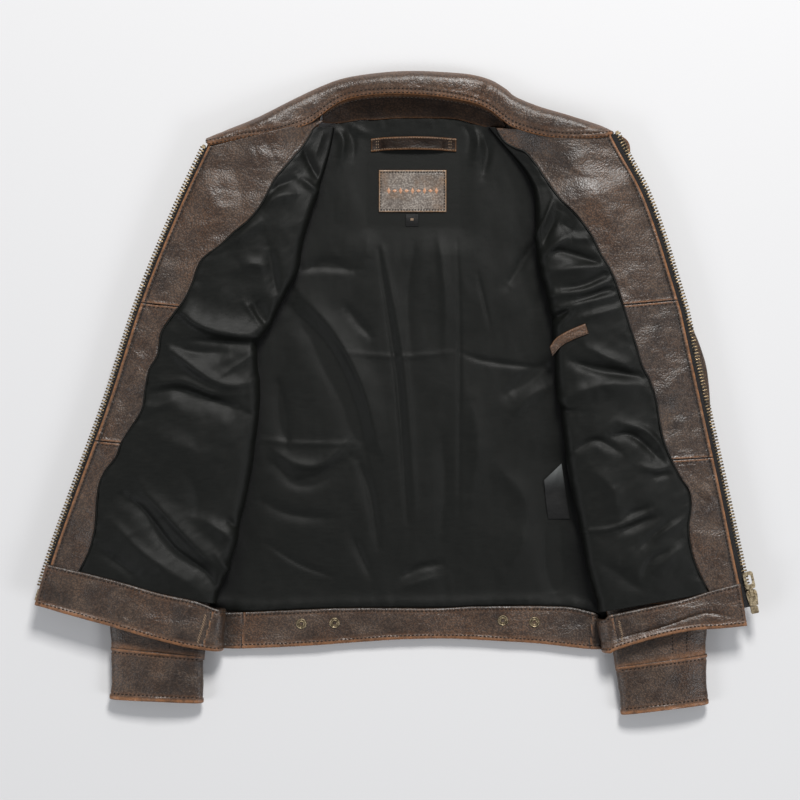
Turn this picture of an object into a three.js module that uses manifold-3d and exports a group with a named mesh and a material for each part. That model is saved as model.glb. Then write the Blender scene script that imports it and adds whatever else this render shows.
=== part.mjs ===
// A leather riding jacket lying open on its back, lining side up, in millimetres.
// +Z is up and z = 0 is the table. +Y points to the collar, +X to the side that carries the zip slider.
// The origin is the middle of the jacket's outline, on the table.
// The back panel lies on the table, the sleeves lie beside it, and the two fronts lie over the sleeves.
import * as THREE from 'three';
import { mergeVertices } from 'three/addons/utils/BufferGeometryUtils.js';
import Module from 'manifold-3d';

const wasm = await Module();
wasm.setup();

// ---- Heights of the layers, bottom to top ----
const LEATHER = 1.8;
const CLOTH = 1.2;
const GAP = 0.4;
const BACK_SHELL_Z = 0;
const BACK_LINING_Z = BACK_SHELL_Z + LEATHER + GAP;
const BACK_TRIM_Z = BACK_LINING_Z + CLOTH + GAP;
const FALL_THICKNESS = 2.2;
const COLLAR_Z = FALL_THICKNESS + GAP;
const COLLAR_THICKNESS = 6;
const HEM_BAND_Z = 6.2;
const HEM_BAND_THICKNESS = 4.8;
const SLEEVE_Z = 3.8;
const SLEEVE_HEIGHT = 18.2;
const SLEEVE_WALL = 1.6;
const SLEEVE_LINING_WALL = 0.7;
const CUFF_Z = 1;
const CUFF_HEIGHT = 23;
const CUFF_WALL = 2.4;
const CUFF_SIDE = 40;
const PAST_END = 12;
const FRONT_Z = 28;
const FRONT_INNER_Z = FRONT_Z + LEATHER + 0.3;
const INNER_CLOTH = 1;
const FRONT_LINING_Z = FRONT_INNER_Z + INNER_CLOTH + 0.3;
const FRONT_TRIM_Z = FRONT_LINING_Z + CLOTH + 0.3;
const FRONT_HEM_Z = FRONT_Z - 0.5;
const FRONT_HEM_THICKNESS = 6;
const FRONT_FALL_Z = FRONT_Z - 3.5;

// ---- Zip ----
// Each tape shows past its leather edge by tapeOut, and the teeth stand past the tape.
const LEFT_TAPE_OUT = 3;
const RIGHT_TAPE_OUT = 6.5;
const TAPE_IN = 11;
const TOOTH_PITCH = 3.8;
const TOOTH_CLEARANCE = 0.3;
const TOOTH_BEAD = 1.5;
const TOOTH_LENGTH = 5;
const TOOTH_THICKNESS = 2.8;
const CHAIN_Z = FRONT_INNER_Z + INNER_CLOTH / 2;
const TEETH_LOW = CHAIN_Z - TOOTH_THICKNESS / 2;
const TEETH_HIGH = CHAIN_Z + TOOTH_THICKNESS / 2;
const toothRoot = (front) => front.tapeOut + TOOTH_CLEARANCE;
const SLIDER_LENGTH = 19;
const SLIDER_WIDTH = 13;
const SLIDER_GAP = 0.5;
const SLIDER_PLATE = 1.3;
const PULL_LENGTH = 29;
const PULL_WIDTH = 12;
const PULL_THICKNESS = 1.6;

// ---- Materials ----
function material(color, roughness, metalness) {
  return new THREE.MeshStandardMaterial({ color, roughness, metalness });
}
const leatherLook = () => material(0x66523f, 0.55, 0);
const warmLeatherLook = () => material(0x6b4a30, 0.6, 0);
const patchLook = () => material(0x7d7064, 0.6, 0);
const liningLook = () => material(0x1d1e1d, 0.75, 0);
const tapeLook = () => material(0x151515, 0.9, 0);
const labelLook = () => material(0x0c0c0c, 0.35, 0);
const brassLook = () => material(0x7a6a4a, 0.4, 0.9);

const jacket = new THREE.Group();

function place(name, geometry, look, parent = jacket) {
  const mesh = new THREE.Mesh(geometry, look());
  mesh.name = name;
  parent.add(mesh);
  return mesh;
}

// ---- Outlines ----
const points = (list) => list.map(([x, y]) => new THREE.Vector2(x, y));

// A smooth curve through a few points, each stretch in `steps` parts.
function smooth(list, steps = 4) {
  return new THREE.SplineCurve(points(list)).getPoints((list.length - 1) * steps);
}

// A run of points moved sideways, to its left when the distance is positive.
function offset(run, distance) {
  return run.map((point, i) => {
    const ahead = run[Math.min(i + 1, run.length - 1)];
    const behind = run[Math.max(i - 1, 0)];
    const along = ahead.clone().sub(behind).normalize();
    return new THREE.Vector2(point.x - along.y * distance, point.y + along.x * distance);
  });
}

const reversed = (run) => [...run].reverse();

// A flat piece of the given outline, from height z up.
function slab(outline, z, thickness) {
  const geometry = new THREE.ExtrudeGeometry(new THREE.Shape(outline), {
    depth: thickness,
    bevelEnabled: false,
  });
  return geometry.translate(0, 0, z);
}

function box(x0, x1, y0, y1, z0, z1) {
  const geometry = new THREE.BoxGeometry(x1 - x0, y1 - y0, z1 - z0);
  return geometry.translate((x0 + x1) / 2, (y0 + y1) / 2, (z0 + z1) / 2);
}

// ---- Booleans ----
function toSolid(geometry) {
  const bare = geometry.clone();
  bare.deleteAttribute('normal');
  bare.deleteAttribute('uv');
  const merged = mergeVertices(bare, 1e-4);
  return new wasm.Manifold(new wasm.Mesh({
    numProp: 3,
    vertProperties: new Float32Array(merged.attributes.position.array),
    triVerts: new Uint32Array(merged.index.array),
  }));
}

function toGeometry(solid) {
  const mesh = solid.getMesh();
  const geometry = new THREE.BufferGeometry();
  geometry.setAttribute('position', new THREE.BufferAttribute(mesh.vertProperties, 3));
  geometry.setIndex(new THREE.BufferAttribute(mesh.triVerts, 1));
  geometry.computeVertexNormals();
  return geometry;
}

function subtract(base, ...tools) {
  return toGeometry(tools.reduce((solid, tool) => solid.subtract(toSolid(tool)), toSolid(base)));
}

function intersect(base, ...tools) {
  return toGeometry(tools.reduce((solid, tool) => solid.intersect(toSolid(tool)), toSolid(base)));
}

function unite(base, ...tools) {
  return toGeometry(tools.reduce((solid, tool) => solid.add(toSolid(tool)), toSolid(base)));
}

// A rounded rectangle, centred, turned by an angle and then moved.
function roundedOutline(width, length, radius, turn = 0, x = 0, y = 0) {
  const run = [];
  for (const [cornerX, cornerY, start] of [[1, 1, 0], [-1, 1, 1], [-1, -1, 2], [1, -1, 3]]) {
    for (let i = 0; i <= 3; i += 1) {
      const angle = (start + i / 3) * Math.PI / 2;
      run.push(new THREE.Vector2(
        cornerX * (width / 2 - radius) + radius * Math.cos(angle),
        cornerY * (length / 2 - radius) + radius * Math.sin(angle),
      ));
    }
  }
  const centre = new THREE.Vector2(0, 0);
  return run.map((point) => point.rotateAround(centre, turn).add(new THREE.Vector2(x, y)));
}

// ---- Back: shell, lining and trim ----
const neckEdge = smooth([[-84, 322], [-42, 326], [20, 328], [72, 327], [122, 318]]);

function backOutline(shrink) {
  return [
    ...offset(neckEdge, -shrink),
    ...smooth([[204 - shrink, 281], [190, 170], [176 - shrink, 59]]),
    ...smooth([[200 - shrink, -60], [240 - shrink, -256]], 3),
    ...smooth([[120, -254], [0, -253], [-120, -254]], 2),
    ...smooth([[-200 + shrink, -256], [-176 + shrink, -60]], 3),
    ...smooth([[-160 + shrink, 59], [-168, 170], [-190 + shrink, 281]]),
  ];
}

function liningOutline() {
  return [
    ...offset(neckEdge, -2),
    ...smooth([[132, 300], [160, 250], [164, 170], [176, 60], [190, -40], [212, -145], [236, -254]], 2),
    ...smooth([[120, -252], [0, -251], [-120, -252]], 2),
    ...smooth([[-198, -254], [-178, -145], [-165, -30], [-140, 60], [-118, 150], [-102, 245]], 2),
  ];
}

place('back_shell', slab(backOutline(0), BACK_SHELL_Z, LEATHER), leatherLook);
place('back_lining', slab(liningOutline(), BACK_LINING_Z, CLOTH), liningLook);

// The hem band runs across the back; four snap studs pass through it.
const hemBandTop = smooth([[-208, -264], [-114, -260], [0, -258], [102, -257], [198, -257], [243, -268]]);
const hemBandBottom = smooth([[243, -308], [174, -301], [66, -295], [-54, -300], [-186, -307], [-208, -306]]);
const STUDS = {
  left_outer: [-113, -277],
  left_inner: [-73, -276],
  right_inner: [130, -273],
  right_outer: [168, -275],
};
const STUD_RADIUS = 6;
const STUD_POST_RADIUS = 1.9;
const STUD_BALL = { bottom: 4.2, radius: 2, neck: 1.5, top: 5.5 };

function disc(radius, z0, z1, x, y, sides = 14) {
  const geometry = new THREE.CylinderGeometry(radius, radius, z1 - z0, sides);
  return geometry.rotateX(Math.PI / 2).translate(x, y, (z0 + z1) / 2);
}

function backHemBand() {
  const band = slab([...hemBandTop, ...hemBandBottom], HEM_BAND_Z, HEM_BAND_THICKNESS);
  const holes = Object.values(STUDS).map(([x, y]) => disc(STUD_POST_RADIUS + 0.3, 0, 20, x, y));
  return subtract(band, ...holes);
}
place('back_hem_band', backHemBand(), leatherLook);

// A stud: ball on the outside, post through the band, dished ring on the inside.
function studGeometry(x, y) {
  const top = HEM_BAND_Z + HEM_BAND_THICKNESS + 0.3;
  const shoulder = HEM_BAND_Z + 0.1;
  const ball = STUD_BALL;
  const profile = points([
    [0, ball.bottom], [ball.radius - 0.4, ball.bottom + 0.2], [ball.radius, ball.bottom + 0.7],
    [ball.neck, ball.top], [ball.neck, shoulder], [STUD_POST_RADIUS, shoulder],
    [STUD_POST_RADIUS, top], [STUD_RADIUS, top], [STUD_RADIUS, top + 0.8], [STUD_RADIUS - 1.4, top + 1.6],
    [2.6, top + 0.7], [0, top + 0.7],
  ]);
  return new THREE.LatheGeometry(profile, 16).rotateX(Math.PI / 2).translate(x, y, 0);
}
for (const [where, [x, y]] of Object.entries(STUDS)) {
  place(`hem_stud_${where}`, studGeometry(x, y), brassLook);
}

// A strap sewn down at both ends, bowed up in the middle so that a hook goes under it.
const LOOP = {
  x: 22,
  y: 297,
  length: 102,
  width: 15.5,
  rise: 5.6,
  thickness: 1.6,
  sewn: 10,
  slope: 6,
  turn: 0.02,
};
function hangerLoop() {
  const half = LOOP.length / 2;
  const foot = half - LOOP.sewn;
  const crest = foot - LOOP.slope;
  const high = LOOP.rise + LOOP.thickness;
  const side = points([
    [-half, 0], [-foot, 0], [-crest, LOOP.rise], [crest, LOOP.rise], [foot, 0], [half, 0],
    [half, LOOP.thickness], [foot + 1, LOOP.thickness], [crest + 1, high], [-crest - 1, high],
    [-foot - 1, LOOP.thickness], [-half, LOOP.thickness],
  ]);
  const strap = slab(side, -LOOP.width / 2, LOOP.width);
  return strap.rotateX(Math.PI / 2).rotateZ(LOOP.turn).translate(LOOP.x, LOOP.y, BACK_TRIM_Z);
}
place('hanger_loop', hangerLoop(), warmLeatherLook);
const PATCH = { x: 21, y: 245, width: 82, height: 53 };
place('brand_patch', slab(
  roundedOutline(PATCH.width, PATCH.height, 3, 0, PATCH.x, PATCH.y),
  BACK_TRIM_Z,
  LEATHER,
), patchLook);
const LABEL_THICKNESS = 0.8;
const SIZE_TAB = { left: 13, right: 28, bottom: 202, top: 217.5 };
place('size_tab', box(
  SIZE_TAB.left,
  SIZE_TAB.right,
  SIZE_TAB.bottom,
  SIZE_TAB.top,
  BACK_TRIM_Z,
  BACK_TRIM_Z + LABEL_THICKNESS,
), labelLook);

// Care label, sewn into the seam at the fold and lying over the back lining.
const careLabel = points([[202, -86], [181, -104], [185, -151], [211, -151], [210, -140]]);
place('care_label', slab(careLabel, BACK_TRIM_Z + GAP, LABEL_THICKNESS), labelLook);

// ---- Collar: a stand with a wing at each side, a middle that turns up, and the fall folded under it ----
const COLLAR_SEAM_Y = 357;
const collarTop = smooth([[-72, 374], [-52, 380], [-18, 385], [24, 388.4], [60, 387], [90, 384], [110, 377]]);
const COLLAR_LEFT = -52;
const COLLAR_RIGHT = 90;

function collarMiddle() {
  const area = [...collarTop, new THREE.Vector2(110, 320), new THREE.Vector2(-72, 320)];
  const middle = box(COLLAR_LEFT, COLLAR_RIGHT, COLLAR_SEAM_Y + GAP, 400, 0, 20);
  return intersect(slab(area, COLLAR_Z, COLLAR_THICKNESS), middle);
}

function collarStand() {
  const area = [...collarTop, ...points([[118, 322]]), ...reversed(offset(neckEdge, 2.5)).slice(1, -1),
    ...points([[-79, 326]])];
  const middle = box(COLLAR_LEFT - GAP, COLLAR_RIGHT + GAP, COLLAR_SEAM_Y, 400, 0, 20);
  return subtract(slab(area, COLLAR_Z, COLLAR_THICKNESS), middle);
}
place('collar_stand', collarStand(), warmLeatherLook);
place('collar_middle', collarMiddle(), leatherLook);
place('collar_fall_middle', slab([
  ...offset(collarTop, -1),
  ...smooth([[116, 340], [96, 336], [20, 333], [-60, 334], [-77, 340]], 2),
], 0, FALL_THICKNESS), leatherLook);

// ---- Sleeves ----
// Each sleeve is a flat tube of a top and an under panel with a lining tube inside, open at both ends.
const leftSleeve = {
  outer: [
    [-192, 281], [-239, 239], [-276, 173], [-306, 101], [-328, 17], [-342, -90], [-346, -223], [-341, -305],
  ],
  inner: [[-230, -316], [-216, -199], [-190, -43], [-168, 59]],
  cap: [[-168, 59], [-156, 100], [-158, 150], [-172, 220], [-192, 281]],
  cuff: [[-341, -305.4], [-343, -364], [-290, -370], [-232, -370.6], [-230, -316.4]],
};
const rightSleeve = {
  outer: [
    [204, 281], [258, 245], [300, 191], [332, 137], [357, 83], [374, 30], [380, -50], [379, -190],
    [374, -313],
  ],
  inner: [[266, -328], [240, -175], [208, -31], [192, 59]],
  cap: [[192, 59], [182, 100], [178, 150], [186, 220], [204, 281]],
  cuff: [[266, -328.4], [272, -381], [276, -388.4], [342, -380], [377, -371], [374, -313.4]],
};

function sleeveOutline(sleeve) {
  return [
    ...smooth(sleeve.outer, 2),
    ...smooth(sleeve.inner, 2),
    ...smooth(sleeve.cap, 2).slice(1, -1),
  ];
}

// The tube's inner space: the outline drawn in by the wall at both sides and run out past both ends.
function sleeveSpace(sleeve, wall, z0, z1) {
  const inward = sleeve.outer[0][0] < 0 ? 1 : -1;
  const outer = offset(smooth(sleeve.outer, 2), inward * wall);
  const inner = offset(smooth(sleeve.inner, 2), inward * wall);
  const cap = offset(smooth(sleeve.cap, 2), -inward * PAST_END).slice(1, -1);
  const past = (point, far) => new THREE.Vector2(point.x, point.y + far);
  const outline = [
    past(outer[0], PAST_END), ...outer, past(outer.at(-1), -PAST_END),
    past(inner[0], -PAST_END), ...inner, ...cap,
  ];
  return slab(outline, z0, z1 - z0);
}

function addSleeve(side, sleeve) {
  const outline = sleeveOutline(sleeve);
  const top = SLEEVE_Z + SLEEVE_HEIGHT;
  const underTop = SLEEVE_Z + SLEEVE_WALL;
  const wallBottom = underTop + 0.3;
  const upper = slab(outline, wallBottom, top - wallBottom);
  const hollow = sleeveSpace(sleeve, SLEEVE_WALL, 0, top - SLEEVE_WALL);
  place(`${side}_top_sleeve`, subtract(upper, hollow), leatherLook);
  place(`${side}_under_sleeve`, slab(outline, SLEEVE_Z, SLEEVE_WALL), leatherLook);
  const liningTop = top - SLEEVE_WALL - 0.3;
  const liningBlock = intersect(
    slab(outline, wallBottom, liningTop - wallBottom),
    sleeveSpace(sleeve, SLEEVE_WALL + 0.3, 0, 40),
  );
  const liningHollow = sleeveSpace(
    sleeve,
    SLEEVE_WALL + 0.3 + SLEEVE_LINING_WALL,
    wallBottom + SLEEVE_LINING_WALL,
    liningTop - SLEEVE_LINING_WALL,
  );
  place(`${side}_sleeve_lining`, subtract(liningBlock, liningHollow), liningLook);
  addCuff(side, points(sleeve.cuff));
}

// The hollow follows the outline, drawn in at the two sides and run out past both ends.
function addCuff(side, outline) {
  const block = slab(outline, CUFF_Z, CUFF_HEIGHT);
  const total = outline.reduce((sum, point) => sum.add(point), new THREE.Vector2());
  const centre = total.divideScalar(outline.length);
  const inward = outline.map((point) => {
    const atSide = Math.abs(point.x - centre.x) > CUFF_SIDE;
    const x = point.x + Math.sign(centre.x - point.x) * (atSide ? CUFF_WALL : 0);
    const y = point.y + Math.sign(point.y - centre.y) * PAST_END;
    return new THREE.Vector2(x, y);
  });
  const hollow = slab(inward, CUFF_Z + CUFF_WALL, CUFF_HEIGHT - 2 * CUFF_WALL);
  place(`${side}_cuff`, subtract(block, hollow), leatherLook);
}
addSleeve('left', leftSleeve);
addSleeve('right', rightSleeve);

// ---- Fronts ----
// Each front is bounded by the zip edge, the hem band, the fold to the back and the collar seam.
// ZIP_FOOT and ZIP_BEND are the ends of the straight stretch that the slider runs along.
const ZIP_FOOT = new THREE.Vector2(416, -246);
const ZIP_BEND = new THREE.Vector2(340, 100);
const leftFront = {
  tapeOut: LEFT_TAPE_OUT,
  teethHead: 294,
  teethFoot: -232,
  zip: [
    new THREE.Vector2(-223, 296),
    ...smooth([
      [-225.5, 291], [-258, 221], [-302, 113], [-341, -7], [-376, -103], [-404, -181], [-420, -231],
    ], 3),
    new THREE.Vector2(-426, -250),
  ],
  hemTop: smooth([[-412, -203], [-378, -212], [-330, -224], [-282, -238], [-240, -248], [-214, -258]], 2),
  hemBottom: smooth([[-212, -306], [-252, -302], [-294, -292], [-342, -277], [-390, -264], [-427, -253]], 2),
  fold: smooth([[-214, -258], [-194, -200], [-186, -145], [-176, -67], [-170, 0], [-152, 70], [-122, 150],
    [-104, 245], [-92, 320]], 2),
  collarSeam: smooth([[-92, 320], [-126, 314], [-180, 304], [-223, 297]], 2),
  facingEdge: smooth([[-92, 330], [-108, 301], [-144, 257], [-174, 209], [-228, 164], [-252, 113], [-283, 59],
    [-298, 19], [-304, -20], [-332, -73], [-353, -103], [-358, -145], [-366, -187], [-380, -220]], 3),
  facingSeams: [[[-302, 109], [-258, 104]], [[-362, -56], [-329, -59]]],
};
const rightFront = {
  tapeOut: RIGHT_TAPE_OUT,
  teethHead: 309,
  teethFoot: -256,
  zip: [
    new THREE.Vector2(257, 311),
    ...smooth([[259.5, 306], [272, 281], [294, 239], [312, 191], [327, 143], [340, 100]], 3),
    ZIP_FOOT,
    new THREE.Vector2(418.2, -255.5),
    new THREE.Vector2(421, -269),
  ],
  hemTop: smooth([[412, -227], [378, -235], [342, -246], [294, -257], [243, -268]], 2),
  hemBottom: smooth([[250, -310], [282, -300], [318, -290], [354, -283], [390, -279], [421, -276]], 2),
  fold: smooth([[243, -268], [236, -230], [228, -151], [214, -79], [206, -10], [198, 59], [184, 120],
    [172, 190], [160, 250], [134, 318]], 2),
  collarSeam: smooth([[134, 316], [168, 308], [216, 304], [256, 309]], 2),
  facingEdge: smooth([[128, 330], [140, 300], [170, 276], [198, 233], [234, 191], [260, 143], [272, 108],
    [288, 59], [304, 17], [316, -31], [330, -80], [352, -118], [350, -163], [360, -205], [378, -245]], 3),
  facingSeams: [[[275, 106], [335, 112]], [[332, -79], [377, -76]]],
};

const isLeft = (front) => front.zip[0].x < 0;
// Every zip edge runs from the collar down, so this sign moves it outward on either front.
const outwardSign = (front) => (isLeft(front) ? -1 : 1);

function frontOutline(front) {
  const hemTop = offset(front.hemTop, -outwardSign(front) * GAP);
  return [
    ...front.zip.filter((point) => point.y > front.hemTop[0].y + 4),
    ...hemTop,
    ...front.fold.slice(1, -1),
    ...front.collarSeam,
  ];
}

// All that lies outside the facing's inner edge (towards the zip), or inside it, less a gap.
function besideFacingEdge(front, outside) {
  const away = outwardSign(front) * (outside ? 1 : -1);
  const run = front.facingEdge.map((point) => new THREE.Vector2(point.x + away * GAP / 2, point.y));
  return slab([...run, ...points([[away * 600, -400], [away * 600, 400]])], 0, 60);
}

// All that lies above a seam across the facing, or below it, less half a gap.
function besideSeam(seam, above) {
  const way = above ? 1 : -1;
  const [a, b] = points(seam);
  const along = b.clone().sub(a);
  const ends = [a.clone().addScaledVector(along, -3), b.clone().addScaledVector(along, 3)];
  const run = ends.map((point) => new THREE.Vector2(point.x, point.y + way * GAP / 2));
  const far = way * 500;
  return slab([...run, ...points([[run[1].x, far], [run[0].x, far]])], 0, 60);
}

// Interlocking teeth in one strip along the zip edge.
function toothStrip(front) {
  const inReach = (point) => point.y > front.teethFoot && point.y < front.teethHead;
  const run = front.zip.filter(inReach);
  const edge = new THREE.Path(run);
  const count = Math.floor(edge.getLength() / TOOTH_PITCH);
  const side = outwardSign(front);
  const at = (share, distance) => {
    const centre = edge.getPointAt(share);
    const along = edge.getTangentAt(share);
    return new THREE.Vector2(centre.x - along.y * distance * side, centre.y + along.x * distance * side);
  };
  const rootLine = toothRoot(front);
  const profile = [[0, TOOTH_BEAD], [0.25, TOOTH_LENGTH], [0.7, TOOTH_LENGTH]];
  const tips = [];
  for (let tooth = 0; tooth < count; tooth += 1) {
    for (const [share, reach] of profile) {
      tips.push(at((tooth + share) / count, rootLine + reach));
    }
  }
  const first = front.zip.findIndex(inReach);
  const root = reversed(offset(front.zip, side * rootLine).slice(first, first + run.length));
  return slab([...tips, ...root], TEETH_LOW, TOOTH_THICKNESS);
}

function addFront(side, front) {
  const outward = outwardSign(front);
  const outline = frontOutline(front);
  place(`${side}_front_shell`, slab(outline, FRONT_Z, LEATHER), leatherLook);
  const facing = intersect(slab(outline, FRONT_LINING_Z, LEATHER), besideFacingEdge(front, true));
  const [chestSeam, waistSeam] = front.facingSeams;
  const middle = intersect(facing, besideSeam(chestSeam, false), besideSeam(waistSeam, true));
  place(`${side}_facing_upper`, intersect(facing, besideSeam(chestSeam, true)), leatherLook);
  place(`${side}_facing_middle`, middle, leatherLook);
  place(`${side}_facing_lower`, intersect(facing, besideSeam(waistSeam, false)), leatherLook);
  const lining = intersect(slab(outline, FRONT_LINING_Z, CLOTH), besideFacingEdge(front, false));
  place(`${side}_front_lining`, lining, liningLook);
  const hem = [...front.hemTop, ...front.hemBottom];
  place(`${side}_front_hem_band`, slab(hem, FRONT_HEM_Z, FRONT_HEM_THICKNESS), leatherLook);
  const tape = [
    ...offset(front.zip, outward * front.tapeOut).slice(1),
    ...reversed(offset(front.zip, -outward * TAPE_IN).slice(1)),
  ];
  const hemClearance = [[GAP, GAP], [GAP, -GAP], [-GAP, GAP], [-GAP, -GAP]]
    .map(([x, y]) => slab(hem, 0, 60).translate(x, y, 0));
  const tapeBesideHem = subtract(slab(tape, FRONT_INNER_Z, INNER_CLOTH), ...hemClearance);
  place(`${side}_zip_tape`, tapeBesideHem, tapeLook);
  place(`${side}_zip_teeth`, toothStrip(front), brassLook);
}
addFront('left', leftFront);
addFront('right', rightFront);

// ---- Collar ends: each lies above its front, with the fall folded under it ----
const FRONT_FALL_THICKNESS = 3;
const leftCollar = {
  end: [
    ...smooth([[-83, 370], [-126, 350], [-162, 331], [-198, 316], [-226, 305]], 2),
    ...smooth([[-224, 299], [-180, 306], [-126, 316], [-91, 324]], 2),
  ],
  fall: [
    ...smooth([[-82, 367], [-126, 347], [-198, 313], [-224, 303]], 2),
    ...smooth([[-238, 268], [-220, 256], [-150, 274], [-98, 300]], 2),
  ],
};
const rightCollar = {
  end: [
    ...smooth([[119, 372], [132, 365], [144, 355], [174, 343], [210, 332], [246, 320], [261, 312.5]], 2),
    ...smooth([[256, 311], [216, 306], [168, 310], [130, 321]], 2),
  ],
  fall: [
    ...smooth([[120, 369], [144, 352], [210, 329], [262, 312]], 2),
    ...smooth([[276, 309], [287, 296], [284, 280], [268, 272], [200, 266], [140, 290]], 2),
  ],
};
function addCollarEnd(side, collar) {
  place(`${side}_collar_end`, slab(collar.end, FRONT_Z, COLLAR_THICKNESS), leatherLook);
  place(`${side}_collar_fall`, slab(collar.fall, FRONT_FALL_Z, FRONT_FALL_THICKNESS), leatherLook);
}
addCollarEnd('left', leftCollar);
addCollarEnd('right', rightCollar);

// ---- Pockets: hand pockets open on the outside, the chest pocket on the lining side ----
const HAND_WELT = { width: 24, length: 150, corner: 4 };
const HAND_BAG = { width: 100, length: 150, corner: 22, inward: 42, lower: 12 };
const HAND_POCKET_TURN = 0.24;
function addHandPocket(side, x, y) {
  const mirror = side === 'left' ? -1 : 1;
  const turn = -mirror * HAND_POCKET_TURN;
  const welt = roundedOutline(HAND_WELT.width, HAND_WELT.length, HAND_WELT.corner, turn, mirror * x, y);
  place(`${side}_hand_pocket_welt`, slab(welt, FRONT_Z - LEATHER - 0.3, LEATHER), leatherLook);
  const { width, length, corner, inward, lower } = HAND_BAG;
  const bag = roundedOutline(width, length, corner, turn, mirror * (x - inward), y - lower);
  place(`${side}_hand_pocket_bag`, slab(bag, FRONT_INNER_Z, INNER_CLOTH), liningLook);
}
addHandPocket('left', 318, -105);
addHandPocket('right', 338, -108);
const chestWelt = [
  ...smooth([[185, 56], [193, 67], [208, 76], [227, 84]], 3),
  ...smooth([[231, 73], [213, 65], [199, 57], [188, 46]], 3),
];
place('chest_pocket_welt', slab(chestWelt, FRONT_TRIM_Z, LEATHER), leatherLook);
const CHEST_BAG = { width: 110, length: 125, corner: 20, turn: -0.2, x: 262, y: 35 };
const chestBag = roundedOutline(...Object.values(CHEST_BAG));
place('chest_pocket_bag', slab(chestBag, FRONT_INNER_Z, INNER_CLOTH), liningLook);

// ---- Zip hardware ----
// A point beside the straight stretch: x outward from the leather edge, y up from the slider's rest.
const CHAIN_TURN = Math.atan2(ZIP_FOOT.x - ZIP_BEND.x, ZIP_BEND.y - ZIP_FOOT.y);
const chain = new THREE.Group();
chain.position.set(ZIP_FOOT.x, ZIP_FOOT.y, 0);
chain.rotation.z = CHAIN_TURN;
jacket.add(chain);

const SLIDER_CENTRE = toothRoot(rightFront) + TOOTH_LENGTH;
const PIVOT_Y = 3;
const PIVOT_Z = TEETH_HIGH + SLIDER_GAP + SLIDER_PLATE + 1.9;
const PIN_RADIUS = 0.8;
const PIN_HOLE_RADIUS = 1.1;
const LUG = { thickness: 1.4, half: 2.5, top: 1.6 };
const RIM = { inset: 1.6, width: 0.8, low: -9, high: 6 };
const TONGUE = 4;

// The slider: two plates round the teeth, a wedge between the two rows, side rims, and two lugs on top.
function sliderGeometry() {
  const half = SLIDER_WIDTH / 2;
  const plate = smooth([
    [half - 1.6, -SLIDER_LENGTH / 2], [half - 0.6, -2], [half, 4], [half - 1, SLIDER_LENGTH / 2 - 1],
    [2, SLIDER_LENGTH / 2],
  ], 2);
  const outline = [...plate, ...reversed(plate).map((point) => new THREE.Vector2(-point.x, point.y))];
  const low = TEETH_LOW - SLIDER_GAP;
  const high = TEETH_HIGH + SLIDER_GAP;
  const wedge = slab(points([[0.5, -1], [2.2, 3], [2.2, 8], [0.5, 8]]), low - 0.5, high - low + 1);
  const lugs = [-1, 1].map((way) => {
    const near = way * (TONGUE / 2 + GAP);
    const far = near + way * LUG.thickness;
    const [x0, x1] = [Math.min(near, far), Math.max(near, far)];
    return box(x0, x1, PIVOT_Y - LUG.half, PIVOT_Y + LUG.half, high + 0.5, PIVOT_Z + LUG.top);
  });
  const rimOuter = half - RIM.inset;
  const rimInner = rimOuter - RIM.width;
  const pinHole = new THREE.CylinderGeometry(PIN_HOLE_RADIUS, PIN_HOLE_RADIUS, 20, 16);
  pinHole.rotateZ(Math.PI / 2).translate(0, PIVOT_Y, PIVOT_Z);
  const body = unite(
    slab(outline, low - SLIDER_PLATE, SLIDER_PLATE),
    slab(outline, high, SLIDER_PLATE),
    wedge,
    box(rimInner, rimOuter, RIM.low, RIM.high, high - 0.7, high + 0.4),
    box(rimInner, rimOuter, RIM.low, RIM.high, low - 0.4, low + 0.5),
    ...lugs,
  );
  return subtract(body, pinHole).translate(SLIDER_CENTRE, 0, 0);
}
place('zip_slider', sliderGeometry(), brassLook, chain);

// The pull: a tongue with a cross pin held between the lugs, and a grip with a window.
function pullGeometry() {
  const half = PULL_THICKNESS / 2;
  const neck = 8;
  const gripLength = PULL_LENGTH - neck;
  const pinLength = TONGUE + 2 * (GAP + LUG.thickness);
  const pin = new THREE.CylinderGeometry(PIN_RADIUS, PIN_RADIUS, pinLength, 12).rotateZ(Math.PI / 2);
  const gripOutline = roundedOutline(PULL_WIDTH, gripLength, 3, 0, 0, neck + gripLength / 2);
  const grip = slab(gripOutline, -half, PULL_THICKNESS);
  const tongue = box(-TONGUE / 2, TONGUE / 2, -1.2, neck + 1, -half, half);
  const window = slab(roundedOutline(6, 11, 2, 0, 0, PULL_LENGTH - 10), -5, 10);
  const body = subtract(unite(grip, tongue, pin), window);
  return body.translate(SLIDER_CENTRE, PIVOT_Y, PIVOT_Z);
}
place('zip_pull', pullGeometry(), brassLook, chain);

// Retainer box at the foot of the slider's side, pin at the foot of the other, and a stop at each top.
const RETAINER = 9;
const RETAINER_GAP = 0.7;
const retainer = roundedOutline(
  RETAINER,
  RETAINER,
  1.5,
  0,
  toothRoot(rightFront) + RETAINER / 2,
  -(SLIDER_LENGTH + RETAINER) / 2 - RETAINER_GAP,
);
place('zip_retainer_box', slab(retainer, TEETH_LOW - 1, TOOTH_THICKNESS + 2), brassLook, chain);

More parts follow.
